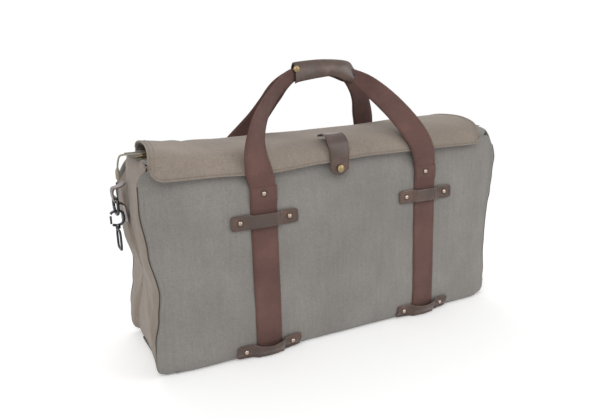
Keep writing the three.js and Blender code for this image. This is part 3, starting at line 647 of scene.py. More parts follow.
def build_ends():
    for name, end in SIDES:
        bm = bmesh.new()
        heart = Vector((end * (END - 13), (FRONT + BACK) / 2, 120))

        def place(u, v):
            rim = end_rim(end, round(u * 200) / 200 % 1)
            share = v ** 0.7
            at = heart.lerp(rim, share)
            height = at.z / FRONT_TOP
            dome = (1 - share ** 5) * (5.0 + 4.0 * bell(0.75, 0.3, height) - 2.5 * bell(0.42, 0.18, height))
            folds = wrinkles(at.y * 1.3, end * 40, at.z) * (1 - share ** 8)
            crease = 2.6 * bell(0, 9, at.y - FRONT - 20 - (at.z - 60) * 0.16) * bell(70, 60, at.z) * (1 - share ** 10)
            pleats = 0.9 * math.sin(at.z / 6.5 + 3 * fold_noise((0, at.y, at.z), 40, 2)) * bell(0.93, 0.06, share)
            out = abs(at.x) + dome + folds + crease + pleats
            held = END - 0.8 + 12 * (1 - smoothstep(FRONT + 6, FRONT + 60, at.y))
            return (end * min(out, held), at.y, max(at.z, FLOOR_GAP + 1.5))

        add_grid(bm, 200, 30, place, lambda u, v: (u * 0.7, v * 0.12), weld=True)
        bmesh.ops.remove_doubles(bm, verts=bm.verts, dist=0.05 * MM)
        face_outwards(bm, (end, 0, 0))
        # the end panels take the canvas painted lighter, as painted light
        make_piece("canvas_end_" + name, bm, "rubbed", "bag", ("end_panel_" + name,),
                   thickness=sizes().canvas_thickness, fix_normals=False)


def build_base():
    bm = bmesh.new()
    def place(u, v):
        y = lerp(FRONT + 10.5, BACK - 11.5, v)
        end = 2 * u - 1
        ends = [wall_edge(side, -1 if end < 0 else 1, 2.0) for side in (-1, 1)]
        reach = lerp(ends[0], ends[1], v) - 11.0
        x = end * reach
        rim = min(1.0, 4 * min(v, 1 - v)) * min(1.0, 12 * min(u, 1 - u))
        return (x, y, 2.8 - 1.1 * rim + 0.5 * fold_noise((x, y, 0), 60, 4.0) * rim)

    add_grid(bm, 90, 24, place, lambda u, v: (u * 0.56, v * 0.18))
    face_outwards(bm, (0, 0, -1))
    make_piece("canvas_base", bm, "canvas", "bag", ("base_panel",), thickness=1.8, fix_normals=False)


def build_top_strips():
    """The canvas either side of the zip, rolled over from the walls."""
    rows = {"front": (FRONT + 3.0, FRONT_TOP - 2.0, ZIP_Y - 7.0, -1), "back": (BACK_TOP_Y - 3.0, BACK_TOP - 2.0, ZIP_Y + 7.0, 1)}
    for name, (outer, low, inner, side) in rows.items():
        bm = bmesh.new()

        def place(u, v):
            x = (2 * u - 1) * (END - 7 - 26 * (1 - v) ** 3)
            y = lerp(outer, inner, v)
            z = lerp(low, ZIP_Z - 1.0, math.sin(v * math.pi / 2) ** 0.8) + 0.6 * fold_noise((x, y, 0), 45, 2.0)
            return (x, y, z)

        add_grid(bm, 90, 10, place, lambda u, v: (u * 0.55, v * 0.06))
        face_outwards(bm, (0, 0, 1))
        make_piece("top_strip_canvas_" + name, bm, "canvas", "bag", ("top_strip_" + name,),
                   thickness=1.6, fix_normals=False)


def build_lining():
    """The loose cotton lining, one closed bag with its own soft folds."""
    bm = bmesh.new()
    low, high = corners("lining")
    middle = (low + high) / 2
    half = (high - low) / 2

    def place(u, v):
        turn = u * math.tau
        c, s = math.cos(turn), math.sin(turn)
        reach_x = (half.x - 22) * math.copysign(abs(c) ** 0.18, c)
        reach_y = (half.y - 13) * math.copysign(abs(s) ** 0.30, s)
        z = lerp(high.z - 10, low.z + 2, min(1.0, v / 0.8))
        draw = 1.0 if v <= 0.8 else (1 - v) / 0.2
        lean = 1 - 0.10 * smoothstep(SHOULDER, BACK_TOP, z)
        ripple = 1.5 * fold_noise((reach_x, reach_y, z), 40, 6.0) * draw
        y = middle.y + (reach_y * lean + math.copysign(ripple, s)) * draw
        return (middle.x + reach_x * draw, min(y, BACK_TOP_Y - 9 if z > SHOULDER + 25 else BACK - 8), z)

    add_grid(bm, 160, 40, place, lambda u, v: (u * 1.5, v * 0.4), weld=True)
    make_piece("cotton_lining", bm, "lining", "bag", ("lining",))


# ---- the zip ---------------------------------------------------------------------------------
def build_zip():
    for name, side in (("front", -1), ("back", 1)):
        low, high = corners("zip_tape_" + name)
        bm = bmesh.new()

        def place(u, v):
            x = lerp(low.x, high.x, u)
            y = lerp(low.y, high.y, v)
            inward = v if side < 0 else 1 - v
            return (x, y, high.z - 0.6 + 0.35 * inward ** 4 + 0.3 * fold_noise((x, 0, 0), 30, side))

        add_grid(bm, 120, 6, place, lambda u, v: (u * 0.5, v * 0.012))
        teeth = bmesh.new()
        bmesh.ops.create_cube(teeth, size=1.0)
        bmesh.ops.bevel(teeth, geom=teeth.edges, offset=0.18, segments=1, profile=0.5, affect="EDGES", material=-1)
        chain = bmesh.new()
        edge = high.y if side < 0 else low.y
        x = low.x + 3
        while x < high.x - 3:
            size = Matrix.Diagonal((1.15 * MM, 2.6 * MM, 1.5 * MM, 1.0))
            at = Matrix.Translation(Vector((x + (0.95 if side > 0 else 0), edge - side * 0.4, high.z + 0.55)) * MM)
            join_bmesh(chain, teeth, at @ size)
            x += 1.9
        teeth.free()
        make_piece("zip_tape_cloth_" + name, bm, "tape", "bag", ("zip_tape_" + name,), thickness=0.9)
        make_piece("zip_teeth_" + name, chain, "brass", "bag", smooth=False)


def build_pull():
    """The slider's cord pull: a loop of cord with a moulded end, hanging over the bag's corner."""
    low, high = corners("zip_pull")
    slider_low, slider_high = corners("zip_slider")
    start = Vector((slider_low.x + 1.0, (slider_low.y + slider_high.y) / 2, slider_high.z - 1.0))
    tip = Vector((low.x + 2.4, -17.0, low.z + 2.0))
    over = Vector((low.x + 5.0, lerp(start.y, tip.y, 0.55), high.z - 3.5))
    route = spline([start, start.lerp(over, 0.6) + Vector((0, 0, 1.2)), over, Vector((low.x + 2.6, -19, tip.z + 14)), tip], 40)
    bm = bmesh.new()
    add_tube(bm, route, lambda t: 1.15 + 1.5 * smoothstep(0.72, 0.8, t) * (1 - smoothstep(0.97, 1.0, t) * 0.5), sides=12)
    make_piece("zip_pull_cord", bm, "cord", "slider", ("zip_pull",))


# ---- the flap --------------------------------------------------------------------------------
FLAP_ARCH = [(64.5, 277.5), (56, 287.5), (28, 292.5), (0, 293.5), (-36, 293.0), (-66, 291.0), (-86, 286.5),
             (-97, 277.5), (-100.6, 268), (-101.4, 261)]
CREST = [(-257, 4.5), (-206, -2.0), (-130, -4.5), (-26, -3.5), (74, -1.0), (178, 3.5), (257, 6.5)]
LIP = [(-268, 0.0), (-208, -1.2), (-127, -4.6), (-38, 0.0), (27, 3.4), (120, 3.2), (224, 2.0)]
LIP_CORNERS = {-1: 20.0, 1: 9.0}
FLAP_SKEW = -23.0


def flap_at(u, v):
    """A point on the flap: u from -1 to 1 along the bag, v from the back seam to the front lip."""
    arch = [Vector((0, y, z)) for y, z in FLAP_ARCH]
    place = v * (len(arch) - 1)
    k = min(int(place), len(arch) - 2)
    t = place - k
    points = [arch[min(max(k + j, 0), len(arch) - 1)] for j in (-1, 0, 1, 2)]
    p0, p1, p2, p3 = points
    at = 0.5 * (2 * p1 + (p2 - p0) * t + (2 * p0 - 5 * p1 + 4 * p2 - p3) * t * t + (3 * p1 - p0 - 3 * p2 + p3) * t ** 3)
    drop = smoothstep(0.62, 1.0, v)
    half = FLAP_BOX[1].x - 1.0
    x = u * half + FLAP_SKEW * smoothstep(0.1, 0.9, v)
    over = math.sin(math.pi * min(1.0, v / 0.85)) ** 0.8 if v < 0.85 else 0.0
    z = at.z + between(CREST, x) * over
    z += between(LIP, x) * smoothstep(0.75, 1.0, v)
    from_end = half * (1 - abs(u))
    corner = LIP_CORNERS[-1 if u < 0 else 1]
    if from_end < corner:
        z += (corner - math.sqrt(corner ** 2 - (corner - from_end) ** 2)) * smoothstep(0.80, 1.0, v)
    ridge = 2.2 * bell(-214, 9, x) * over - 1.6 * bell(-196, 8, x) * over
    folds = 1.1 * fold_noise((x, at.y * 1.3, 0), 75, 4.0) + 0.45 * fold_noise((x, at.y, at.z), 26, 9.0)
    keep = smoothstep(0.0, 0.08, v)
    y = at.y - drop * (1.2 + 1.3 * fold_noise((x, 0, 0), 55, 7.0)) * 0.8
    return Vector((x, y, z + (folds + ridge) * keep * (1 - 0.6 * drop)))


def build_flap():
    bm = bmesh.new()

    def place(u, v):
        return flap_at(2 * u - 1, v)

    add_grid(bm, 150, 44, place, lambda u, v: (u * 0.514, v * 0.2))
    face_outwards(bm, (0, 0, 1))
    # the flap and its hem take the canvas painted lighter, as painted light
    make_piece("canvas_flap", bm, "rubbed", "flap_cover", ("flap",), thickness=2.4, fix_normals=False)
    hem = bmesh.new()
    rim = [flap_at(-0.998, v / 50) for v in range(3, 50)]
    rim += [flap_at(u / 90, 0.998) for u in range(-90, 91)]
    rim += [flap_at(0.998, v / 50) for v in range(49, 2, -1)]
    add_tube(hem, [point + Vector((0, 0.6, -0.6)) for point in rim], 1.35, sides=8)
    make_piece("flap_hem", hem, "rubbed", "flap_cover")
    threads = bmesh.new()
    for inset in (0.012, 0.030):
        right = [flap_at(1 - inset, v / 60) for v in range(4, 59)]
        left = [flap_at(-1 + inset, v / 60) for v in range(4, 59)]
        lip = [flap_at(u / 80 * (1 - inset), 1 - inset * 1.25) for u in range(-80, 81)]
        for line, out in ((left, (0, -0.3, 1)), (right, (0, -0.3, 1)), (lip, (0, -1, 0.1))):
            add_stitches(threads, line, out, lift=0.3)
    make_piece("flap_stitching", threads, "thread", "flap_cover")


# ---- webbing and leather strips --------------------------------------------------------------
def add_strap(bm, stations, thick, columns=8):
    """A flat strap through stations of (centre, across, width); its face looks along tangent x across."""
    count = len(stations) - 1
    lengths = [0.0]
    for (a, _, _), (b, _, _) in zip(stations, stations[1:]):
        lengths.append(lengths[-1] + (b - a).length)
    ring = [(-0.5 + k / columns, 1) for k in range(columns + 1)]
    ring += [(0.5 - k / columns, -1) for k in range(columns + 1)]
    around = len(ring)

    def station(i):
        centre, across, width = stations[i]
        ahead = (stations[min(i + 1, count)][0] - stations[max(i - 1, 0)][0]).normalized()
        across = (across - ahead * across.dot(ahead)).normalized()
        return centre, across, across.cross(ahead).normalized(), width

    def place(u, v):
        centre, across, out, width = station(round(u * count))
        share, face = ring[round(v * around) % around]
        depth = thick / 2 * (0.62 if abs(share) > 0.499 else 1.0)
        return centre + across * (share * width) + out * (face * depth)

    def chart(u, v):
        share, face = ring[round(v * around) % around]
        return (lengths[round(u * count)] * MM, (share + (0 if face > 0 else 1.2)) * 0.038)

    made = add_grid(bm, count, around, place, chart, weld=True)
    rims = [edge for edge in {e for v in made if v.is_valid for e in v.link_edges} if edge.is_boundary]
    bmesh.ops.holes_fill(bm, edges=rims, sides=0)


def stations_through(keys, count):
    """Smooth stations through a few given ones: ((x, y, z), (across), width)."""
    centres = spline([Vector(c) for c, _, _ in keys], count)
    across = spline([Vector(a) for _, a, _ in keys], count)
    widths = spline([Vector((w, 0, 0)) for _, _, w in keys], count)
    return [(c, a.normalized(), w.x) for c, a, w in zip(centres, across, widths)]


def strap_stand(z):
    """From the canvas to the middle of the webbing, which laps over the handle's foot at its top."""
    return 1.5 + 2.5 * smoothstep(211, 223, z)


def strap_line(x, top):
    """The girth strap's path down the front, under the bag and up the back, as centres."""
    points = []
    steps = 40
    for i in range(steps + 1):
        z = lerp(top, 12, i / steps)
        points.append(Vector((x, wall_y(-1, x, z) - strap_stand(z), z)))
    points.append(Vector((x, FRONT + 3.5, 4.5)))
    points += [Vector((x, lerp(FRONT + 12, BACK - 12, i / 12), 1.3)) for i in range(13)]
    points.append(Vector((x, BACK - 4.0, 4.5)))
    for i in range(steps + 1):
        z = lerp(12, top, i / steps)
        points.append(Vector((x, wall_y(1, x, z) + strap_stand(z), z)))
    return points


def build_straps():
    top = STRAP_BOX[1].z
    for name, side in SIDES:
        x = side * STRAP_X
        line = spline(strap_line(x, top), 180)
        stations = [(c + Vector((0.5 * fold_noise((0, c.y, c.z), 50, side), 0, 0)), Vector((1, 0, 0)), STRAP_WIDTH)
                    for c in line]
        bm = bmesh.new()
        add_strap(bm, stations, 2.2)
        make_piece("webbing_girth_" + name, bm, "webbing", "bag", ("girth_strap_" + name,))
        threads = bmesh.new()
        for edge in (-1, 1):
            inset = edge * (STRAP_WIDTH / 2 - 2.5)
            front = [c + Vector((inset, -1.2, 0)) for c, _, _ in stations if c.y < FRONT + 2 and c.z > 14]
            back = [c + Vector((inset, 1.2, 0)) for c, _, _ in stations if c.y > BACK_TOP_Y and c.z > 14]
            add_stitches(threads, front, (0, -1, 0))
            add_stitches(threads, back, (0, 1, 0))
        make_piece("girth_stitching_" + name, threads, "brown thread", "bag")


FRONT_LEFT = [((-132, -95.2, 216), (1, 0, 0), 37), ((-133, -97.2, 238), (1, 0, 0), 36.5),
              ((-141, -105.0, 262), (1, 0.05, 0), 36), ((-143, -104.0, 284), (1, 0.25, 0.05), 34),
              ((-134, -92, 308), (1, 0.6, -0.4), 33), ((-113, -68, 331), (0.8, 0.75, -0.7), 31),
              ((-86, -42, 350), (0.55, 0.7, -0.9), 28), ((-60, -22, 366), (0.3, 0.4, -1), 24),
              ((-36, -9.6, 376), (0.1, 0, -1), 17), ((-14, -9.4, 379), (0, 0, -1), 15)]
FRONT_RIGHT = [((132, -95.2, 216), (-1, 0, 0), 37), ((131, -97.2, 238), (-1, 0, 0), 37),
               ((121, -105.0, 262), (-1, 0, -0.2), 38), ((110, -104.0, 284), (-1, 0, -0.3), 38),
               ((98, -90, 308), (-1, 0.05, -0.3), 38), ((91, -67, 328), (-1, 0.1, -0.4), 36),
               ((83, -43, 346), (-0.9, 0.1, -0.6), 32), ((72, -23, 361), (-0.6, 0.1, -0.8), 26),
               ((52, -9.6, 374), (-0.2, 0, -1), 17), ((30, -9.4, 378), (0, 0, -1), 15)]
BACK_LEFT = [((-132, 90.0, 218), (-1, 0, 0), 37), ((-127, 85.0, 242), (-1, 0, 0.2), 37),
             ((-107, 79.0, 263), (-1, 0, 0.5), 37), ((-86, 72, 286), (-1, 0, 0.5), 36),
             ((-69, 56, 312), (-1, -0.2, 0.5), 34), ((-58, 34, 338), (-0.8, -0.3, 0.6), 30),
             ((-50, 12, 360), (-0.5, -0.2, 1), 24), ((-34, -1.8, 375), (-0.1, 0, 1), 17),
             ((-14, -2.0, 379), (0, 0, 1), 15)]
BACK_RIGHT = [((132, 90.0, 218), (1, 0, 0), 37), ((134, 85.0, 242), (1, 0, 0), 38),
              ((137, 79.0, 265), (1, 0, 0), 38), ((133, 70, 290), (1, 0, 0.2), 38),
              ((119, 54, 315), (1, 0, 0.3), 36), ((100, 32, 340), (0.9, 0, 0.6), 32),
              ((76, 12, 359), (0.6, 0, 0.8), 26), ((50, -1.8, 373), (0.2, 0, 1), 17),
              ((30, -2.0, 378), (0, 0, 1), 15)]


def handle_stations(left, right):
    """One run of webbing from one strap's end, through the grip, down to the other's."""
    return stations_through(left + right[::-1], 200)


def build_handles():
    runs = (("front", FRONT_LEFT, FRONT_RIGHT, -1), ("back", BACK_LEFT, BACK_RIGHT, 1))
    for name, left, right, side in runs:
        stations = handle_stations(left, right)
        bm = bmesh.new()
        add_strap(bm, stations, 2.2)
        handle = make_piece("webbing_handle_" + name, bm, "webbing", "bag", ("handle_" + name,))
        threads = bmesh.new()
        for edge in (-1, 1):
            for rows in (stations[:78], stations[-78:]):
                line = []
                for k in range(1, len(rows) - 1):
                    centre, across, width = rows[k]
                    ahead = (rows[k + 1][0] - rows[k - 1][0]).normalized()
                    across = (across - ahead * across.dot(ahead)).normalized()
                    out = across.cross(ahead)
                    out = out if out.y * side > 0 else -out
                    line.append(centre + across * (edge * (width / 2 - 2.5)) + out * 1.25)
                add_stitches(threads, line, (0, side, 0.25))
        rows_piece = make_piece("handle_stitching_" + name, threads, "brown thread", "bag")
        for piece in (handle, rows_piece):
            piece.parent = None
            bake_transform(piece)


# ---- the leather parts -----------------------------------------------------------------------
GRIP_TOP_LINE = [(-36, 391.0), (-32, 393.5), (12, 396.0), (54, 392.5), (66, 382.0), (74, 369.0)]
GRIP_LOW_LINE = [(-38, 362.0), (-30, 364.5), (4, 369.0), (27, 370.0), (52, 361.0), (72, 356.5)]


def grip_at(side, u, v):
    """One leaf of the wrapped grip: u from 0 to 1 along it, v from 0 at its lower edge to 1 at the ridge."""
    place = between_line(GRIP_LOW_LINE, u), between_line(GRIP_TOP_LINE, u)
    x = lerp(place[0][0], place[1][0], v)
    z = lerp(place[0][1], place[1][1], v)
    middle = (GRIP_BOX[0].y + corners("grip_leaf_back")[1].y) / 2
    bow = math.sin(math.pi * min(1.0, 0.30 + 0.70 * v)) ** 0.75 if v < 0.995 else 0.0
    depth = 10.4 * bow * (0.92 + 0.08 * math.cos(u * 9)) + 0.5 * (1 - bow)
    folds = 0.5 * fold_noise((x, z, side * 30), 20, 3.0) * bow
    return Vector((x, middle + side * (depth + folds), z))


def between_line(line, u):
    points = [Vector((x, 0, z)) for x, z in line]
    place = u * (len(points) - 1)
    k = min(int(place), len(points) - 2)
    t = place - k
    p0, p1, p2, p3 = [points[min(max(k + j, 0), len(points) - 1)] for j in (-1, 0, 1, 2)]
    at = 0.5 * (2 * p1 + (p2 - p0) * t + (2 * p0 - 5 * p1 + 4 * p2 - p3) * t * t + (3 * p1 - p0 - 3 * p2 + p3) * t ** 3)
    return at.x, at.z


def build_grip():
    for name, side in (("front", -1), ("back", 1)):
        bm = bmesh.new()
        add_grid(bm, 56, 18, lambda u, v: grip_at(side, u, v), lambda u, v: (u * 0.11, v * 0.04))
        face_outwards(bm, (0, side, 0))
        make_piece("grip_leather_" + name, bm, "leather", name + "_handle", ("grip_leaf_" + name,),
                   thickness=1.8, fix_normals=False, levels=1)
        threads = bmesh.new()
        for path in ([grip_at(side, 0.03, v / 30) for v in range(3, 29)],
                     [grip_at(side, 0.97, v / 30) for v in range(3, 29)],
                     [grip_at(side, u / 40, 0.07) for u in range(1, 40)]):
            add_stitches(threads, path, (0, side, 0.1), lift=0.35)
        make_piece("grip_stitching_" + name, threads, "brown thread", name + "_handle")


DOME = [(0.0, 1.0), (0.35, 0.93), (0.66, 0.74), (0.88, 0.42), (0.97, 0.16), (1.0, 0.0), (0.96, -0.2), (0.0, -0.2)]


def stud_at(bm, place, direction, radius, height, profile=DOME):
    seed = turned_bmesh([(r * radius, h * height) for r, h in profile], 18)
    join_bmesh(bm, seed, Matrix.Translation(Vector(place) * MM) @ turn_to(direction))
    seed.free()


BURR = [(0.62, 0.5), (0.8, 1.0), (1.0, 0.75), (1.06, 0.2), (1.0, 0.0), (0.62, 0.0), (0.62, 0.5)]
SNAP = [(0.0, 0.95), (0.3, 1.0), (0.62, 0.9), (0.7, 0.66), (0.78, 0.72), (0.95, 0.6), (1.0, 0.3), (0.98, 0.0), (0.0, 0.0)]
RING_SNAP = [(0.0, 0.1), (0.42, 0.12), (0.5, 0.7), (0.72, 1.0), (0.94, 0.7), (1.0, 0.2), (0.98, 0.0), (0.0, 0.0)]


def build_snaps():
    for name, profile, kind in (("left", SNAP, "brass"), ("right", RING_SNAP, "gunmetal")):
        low, high = corners("grip_snap_" + name)
        bm = bmesh.new()
        u = 0.15 if name == "left" else 0.84
        at = grip_at(-1, u, 0.66)
        stud_at(bm, at + Vector((0, -0.3, 0)), (0, -1, 0.12), (high.x - low.x) / 2, 2.4, profile)
        make_piece("grip_snap_head_" + name, bm, kind, "front_handle", ("grip_snap_" + name,))


def keeper_at(side, centre, half, drop, u, v):
    """A leather keeper bridging a strap: u and v from -1 to 1 along and up it."""
    x = centre.x + u * half.x
    z = centre.z + v * half.z
    along = abs(u) * half.x
    lift = 1 - smoothstep(STRAP_WIDTH / 2 - 3, STRAP_WIDTH / 2 + 6, along)
    sag = drop * bell(0, 20, along)
    z = z - sag * (1.35 - 0.35 * v) + 0.9 * lift * -v
    z = max(z, FLOOR_GAP + 0.4)
    wall = wall_y(side, x, max(6.0, z))
    return Vector((x, wall + side * (1.3 + 4.6 * lift + sag * 1.1 + 0.25 * fold_noise((x, z, 0), 12, 1.0)), z))


KEEPERS = [(wall, level, name) for wall in ("front", "back") for level in ("upper", "lower") for name in ("left", "right")]


def build_keepers():
    for wall, level, name in KEEPERS:
        side = -1 if wall == "front" else 1
        label = "_".join((wall, level, name))
        low, high = corners("keeper_" + label)
        centre = (low + high) / 2
        half = (high - low) / 2
        drop = 4.6 if level == "lower" else 0.6
        bm = bmesh.new()

        def place(u, v):
            a, b = 2 * u - 1, 2 * v - 1
            round_off = 1.6 * (abs(a) ** 14) * (abs(b) ** 6)
            at = keeper_at(side, centre, half, drop, a, b)
            return at + Vector((-math.copysign(round_off, a), 0, -math.copysign(round_off, b)))

        add_grid(bm, 60, 10, place, lambda u, v: (u * 0.097, v * 0.02))
        face_outwards(bm, (0, side, 0))
        make_piece("leather_keeper_" + label, bm, "leather", "bag", ("keeper_" + label,),
                   thickness=1.8, offset=1.0, fix_normals=False, levels=1)
        threads = bmesh.new()
        for end in (-1, 1):
            outer, inner, rim = 0.955, 0.56, 0.80
            loop = [(outer, -rim), (outer, rim), (inner, rim), (inner, -rim), (outer, -rim)]
            path = []
            for (a, b), (c, d) in zip(loop, loop[1:]):
                path += [keeper_at(side, centre, half, drop, end * lerp(a, c, t / 8), lerp(b, d, t / 8)) for t in range(8)]
            path.append(path[0])
            add_stitches(threads, path, (0, side, 0), lift=2.0)
        make_piece("keeper_stitching_" + label, threads, "brown thread", "bag")


def build_rivets():
    """Domed rivets in burr rings through each keeper's feet, and one in each strap's end."""
    for wall, side in (("front", -1), ("back", 1)):
        heads = bmesh.new()
        burrs = bmesh.new()
        nodes = []
        for _, level, name in [k for k in KEEPERS if k[0] == wall]:
            low, high = corners("_".join(("keeper", wall, level, name)))
            centre = (low + high) / 2
            half = (high - low) / 2
            drop = 4.6 if level == "lower" else 0.6
            for end, foot in ((-1, "left"), (1, "right")):
                node = "_".join(("rivet", wall, level, name, foot))
                rivet_low, rivet_high = corners(node)
                share = ((rivet_low.x + rivet_high.x) / 2 - centre.x) / half.x
                at = keeper_at(side, centre, half, drop, share, 0.0) + Vector((0, side * 1.8, 0))
                stud_at(heads, at, (0, side, 0), 3.3, 1.9)
                stud_at(burrs, at - Vector((0, side * 0.2, 0)), (0, side, 0), 4.5, 0.8, BURR)
                nodes.append(node)
        for name, end in SIDES:
            node = "_".join(("strap_rivet", wall, name))
            low, high = corners(node)
            middle = (low + high) / 2
            at = Vector((middle.x, wall_y(side, middle.x, middle.z) + side * (strap_stand(middle.z) + 1.2), middle.z))
            stud_at(heads, at, (0, side, 0), 3.3, 1.9)
            stud_at(burrs, at - Vector((0, side * 0.2, 0)), (0, side, 0), 4.5, 0.8, BURR)
            nodes.append(node)
        make_piece("rivet_heads_" + wall, heads, "nickel", "bag", nodes)
        make_piece("rivet_burrs_" + wall, burrs, "copper", "bag")


TAB_LINE = [(-70, 293.4), (-82, 297.0), (-94, 294.5), (-103.5, 284.0), (-107.0, 268), (-106.4, 252), (-105.6, 240.5)]


def tab_at(u, v):
    """The closing tab: u from -1 to 1 across, v from its sewn end down to its tip."""
    middle = (TAB_BOX[0].x + TAB_BOX[1].x) / 2
    half = (TAB_BOX[1].x - TAB_BOX[0].x) / 2
    points = [Vector((0, y, z)) for y, z in TAB_LINE]
    place = v * (len(points) - 1)
    k = min(int(place), len(points) - 2)
    t = place - k
    p0, p1, p2, p3 = [points[min(max(k + j, 0), len(points) - 1)] for j in (-1, 0, 1, 2)]
    at = 0.5 * (2 * p1 + (p2 - p0) * t + (2 * p0 - 5 * p1 + 4 * p2 - p3) * t * t + (3 * p1 - p0 - 3 * p2 + p3) * t ** 3)
    tip = smoothstep(0.86, 1.0, v)
    z = at.z + 9.5 * tip * abs(u) ** 2.2 - 0.8 * (1 - u * u) * (1 - tip)
    return Vector((middle + u * half * (1 + 0.08 * bell(0.45, 0.2, v)), at.y + 0.8 * u * u, z))


def build_tab():
    bm = bmesh.new()
    add_grid(bm, 20, 48, lambda u, v: tab_at(2 * u - 1, v), lambda u, v: (u * 0.03, v * 0.075))
    face_outwards(bm, (0, -1, 0))
    make_piece("leather_tab", bm, "leather", "closing_tab", ("snap_tab",), thickness=1.8, fix_normals=False,
               levels=1)
    threads = bmesh.new()
    for edge in (-0.87, 0.87):
        add_stitches(threads, [tab_at(edge, v / 40) for v in range(2, 38)], (0, -1, 0.2), lift=0.3)
    make_piece("tab_stitching", threads, "brown thread", "closing_tab")
    low, high = corners("snap_cap")
    cap = bmesh.new()
    stud_at(cap, tab_at(0.0, 0.84) + Vector((0, -0.9, 0)), (0, -1, 0), (high.x - low.x) / 2, 2.6, SNAP)
    make_piece("tab_snap_head", cap, "brass", "closing_tab", ("snap_cap",))


def build_end_tabs():
    """A doubled leather loop sewn to each end panel, which carries the ring."""
    for name, side in SIDES:
        low, high = corners("end_tab_" + name)
        middle = (low + high) / 2
        half = (high - low) / 2
        out_x = low.x if side < 0 else high.x
        in_x = high.x if side < 0 else low.x
        bm = bmesh.new()
        outline = [(in_x, low.z + 1.2), (lerp(in_x, out_x, 0.14), middle.z - 6), (lerp(in_x, out_x, 0.42), middle.z - 1),
                   (lerp(in_x, out_x, 0.8), middle.z + 1.5), (out_x - side * 1.1, middle.z + half.z * 0.42),
                   (lerp(in_x, out_x, 0.86), middle.z + half.z * 0.68), (lerp(in_x, out_x, 0.45), middle.z + half.z * 0.76),
                   (lerp(in_x, out_x, 0.14), middle.z + half.z * 0.84), (in_x, high.z - 1.2)]
        keys = [((x, middle.y, z), (0, 1, 0), 2 * half.y - 0.8) for x, z in outline]
        add_strap(bm, stations_through(keys, 48), 1.9, columns=6)
        make_piece("leather_end_loop_" + name, bm, "leather", "bag", ("end_tab_" + name,))
        threads = bmesh.new()
        for edge in (-1, 1):
            y = middle.y + edge * (half.y - 2.2)
            rise = [Vector((in_x + side * 1.0, y, z)) for z in (low.z + 2, low.z + 8, low.z + 15)]
            add_stitches(threads, rise, (side, 0, 0), lift=0.5)
            drop = [Vector((in_x + side * 1.6, y, z)) for z in (high.z - 2, high.z - 5, high.z - 9)]
            add_stitches(threads, drop, (side, 0, 0), lift=0.5)
        make_piece("end_loop_stitching_" + name, threads, "brown thread", "bag")


# ---- seams sewn through the shell --------------------------------------------------------------
def build_seams():
    """The sewn edge between each wall and the end panels: a dark line of painted shade along the crease, and a row of
    stitches.
    """
    for side, wall in ((-1, "front"), (1, "back")):
        bm = bmesh.new()
        top = FRONT_TOP - 18 if side < 0 else BACK_TOP - 46
        for end in (-1, 1):
            line = []
            for k in range(81):
                at = wall_at(side, end, lerp(26.0, top, k / 80))
                line.append(at + Vector((end * 0.7, -side * 0.4, 0)))
            # a thin near-black tube along the seam: painted shade in its crease
            add_tube(bm, line, lambda t: 0.15 + 0.65 * smoothstep(0.0, 0.2, t), sides=6)
        make_piece("seam_line_" + wall, bm, "seam", "bag")
        threads = bmesh.new()
        for end in (-1, 1):
            path = [wall_at(side, end * 0.978, lerp(12.0, top - 4, k / 80)) for k in range(81)]
            add_stitches(threads, path, (0, side, 0), lift=0.2)
        make_piece("seam_stitching_" + wall, threads, "thread", "bag")


# ---- metal and board kept from the frame -------------------------------------------------------
KEPT = {"base_board": "board", "zip_slider": "brass", "snap_stud": "brass", "ring_left": "gunmetal",
        "ring_right": "gunmetal", "hook_body": "gunmetal", "hook_gate": "gunmetal", "hook_eye": "gunmetal"}


def finish_kept_nodes():
    for name, kind in KEPT.items():
        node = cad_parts[name]
        for material_slot in node.material_slots:
            material_slot.material = finish_of(kind)


# ---- the stage -------------------------------------------------------------------------------
CAMERA_PLACE = (-0.4391, -0.7927, 0.3920)
CAMERA_AZIMUTH = -27.18
CAMERA_ELEVATION = 13.74
CAMERA_ROLL = -1.87
CAMERA_LENS = 36.14


def background_mix(tree, lit, shown):
    """The plain white that the camera, gloss and clear rays see behind the object."""
    path = tree.nodes.new("ShaderNodeLightPath")
    both = tree.nodes.new("ShaderNodeMath")
    both.operation = "MAXIMUM"
    tree.links.new(path.outputs["Is Camera Ray"], both.inputs[0])
    tree.links.new(path.outputs["Is Glossy Ray"], both.inputs[1])
    clear = tree.nodes.new("ShaderNodeMath")
    clear.operation = "MAXIMUM"
    tree.links.new(both.outputs[0], clear.inputs[0])
    tree.links.new(path.outputs["Is Transmission Ray"], clear.inputs[1])
    mix = tree.nodes.new("ShaderNodeMixShader")
    tree.links.new(clear.outputs[0], mix.inputs[0])
    tree.links.new(lit.outputs[0], mix.inputs[1])
    tree.links.new(shown.outputs[0], mix.inputs[2])
    return mix


def fade_floor(material):
    """Lets the floor run out to the white of the background well away from the bag."""
    nodes, links = material.node_tree.nodes, material.node_tree.links
    where = nodes.new("ShaderNodeTexCoord")
    distance = nodes.new("ShaderNodeVectorMath")
    distance.operation = "LENGTH"
    links.new(where.outputs["Object"], distance.inputs[0])
    ramp = nodes.new("ShaderNodeMapRange")
    ramp.interpolation_type = "SMOOTHSTEP"
    ramp.inputs["From Min"].default_value = 0.35
    ramp.inputs["From Max"].default_value = 1.0
    links.new(distance.outputs["Value"], ramp.inputs["Value"])
    white = nodes.new("ShaderNodeEmission")
    mix = nodes.new("ShaderNodeMixShader")
    links.new(ramp.outputs["Result"], mix.inputs[0])
    links.new(nodes["Principled BSDF"].outputs[0], mix.inputs[1])
    links.new(white.outputs[0], mix.inputs[2])
    links.new(mix.outputs[0], nodes["Material Output"].inputs["Surface"])


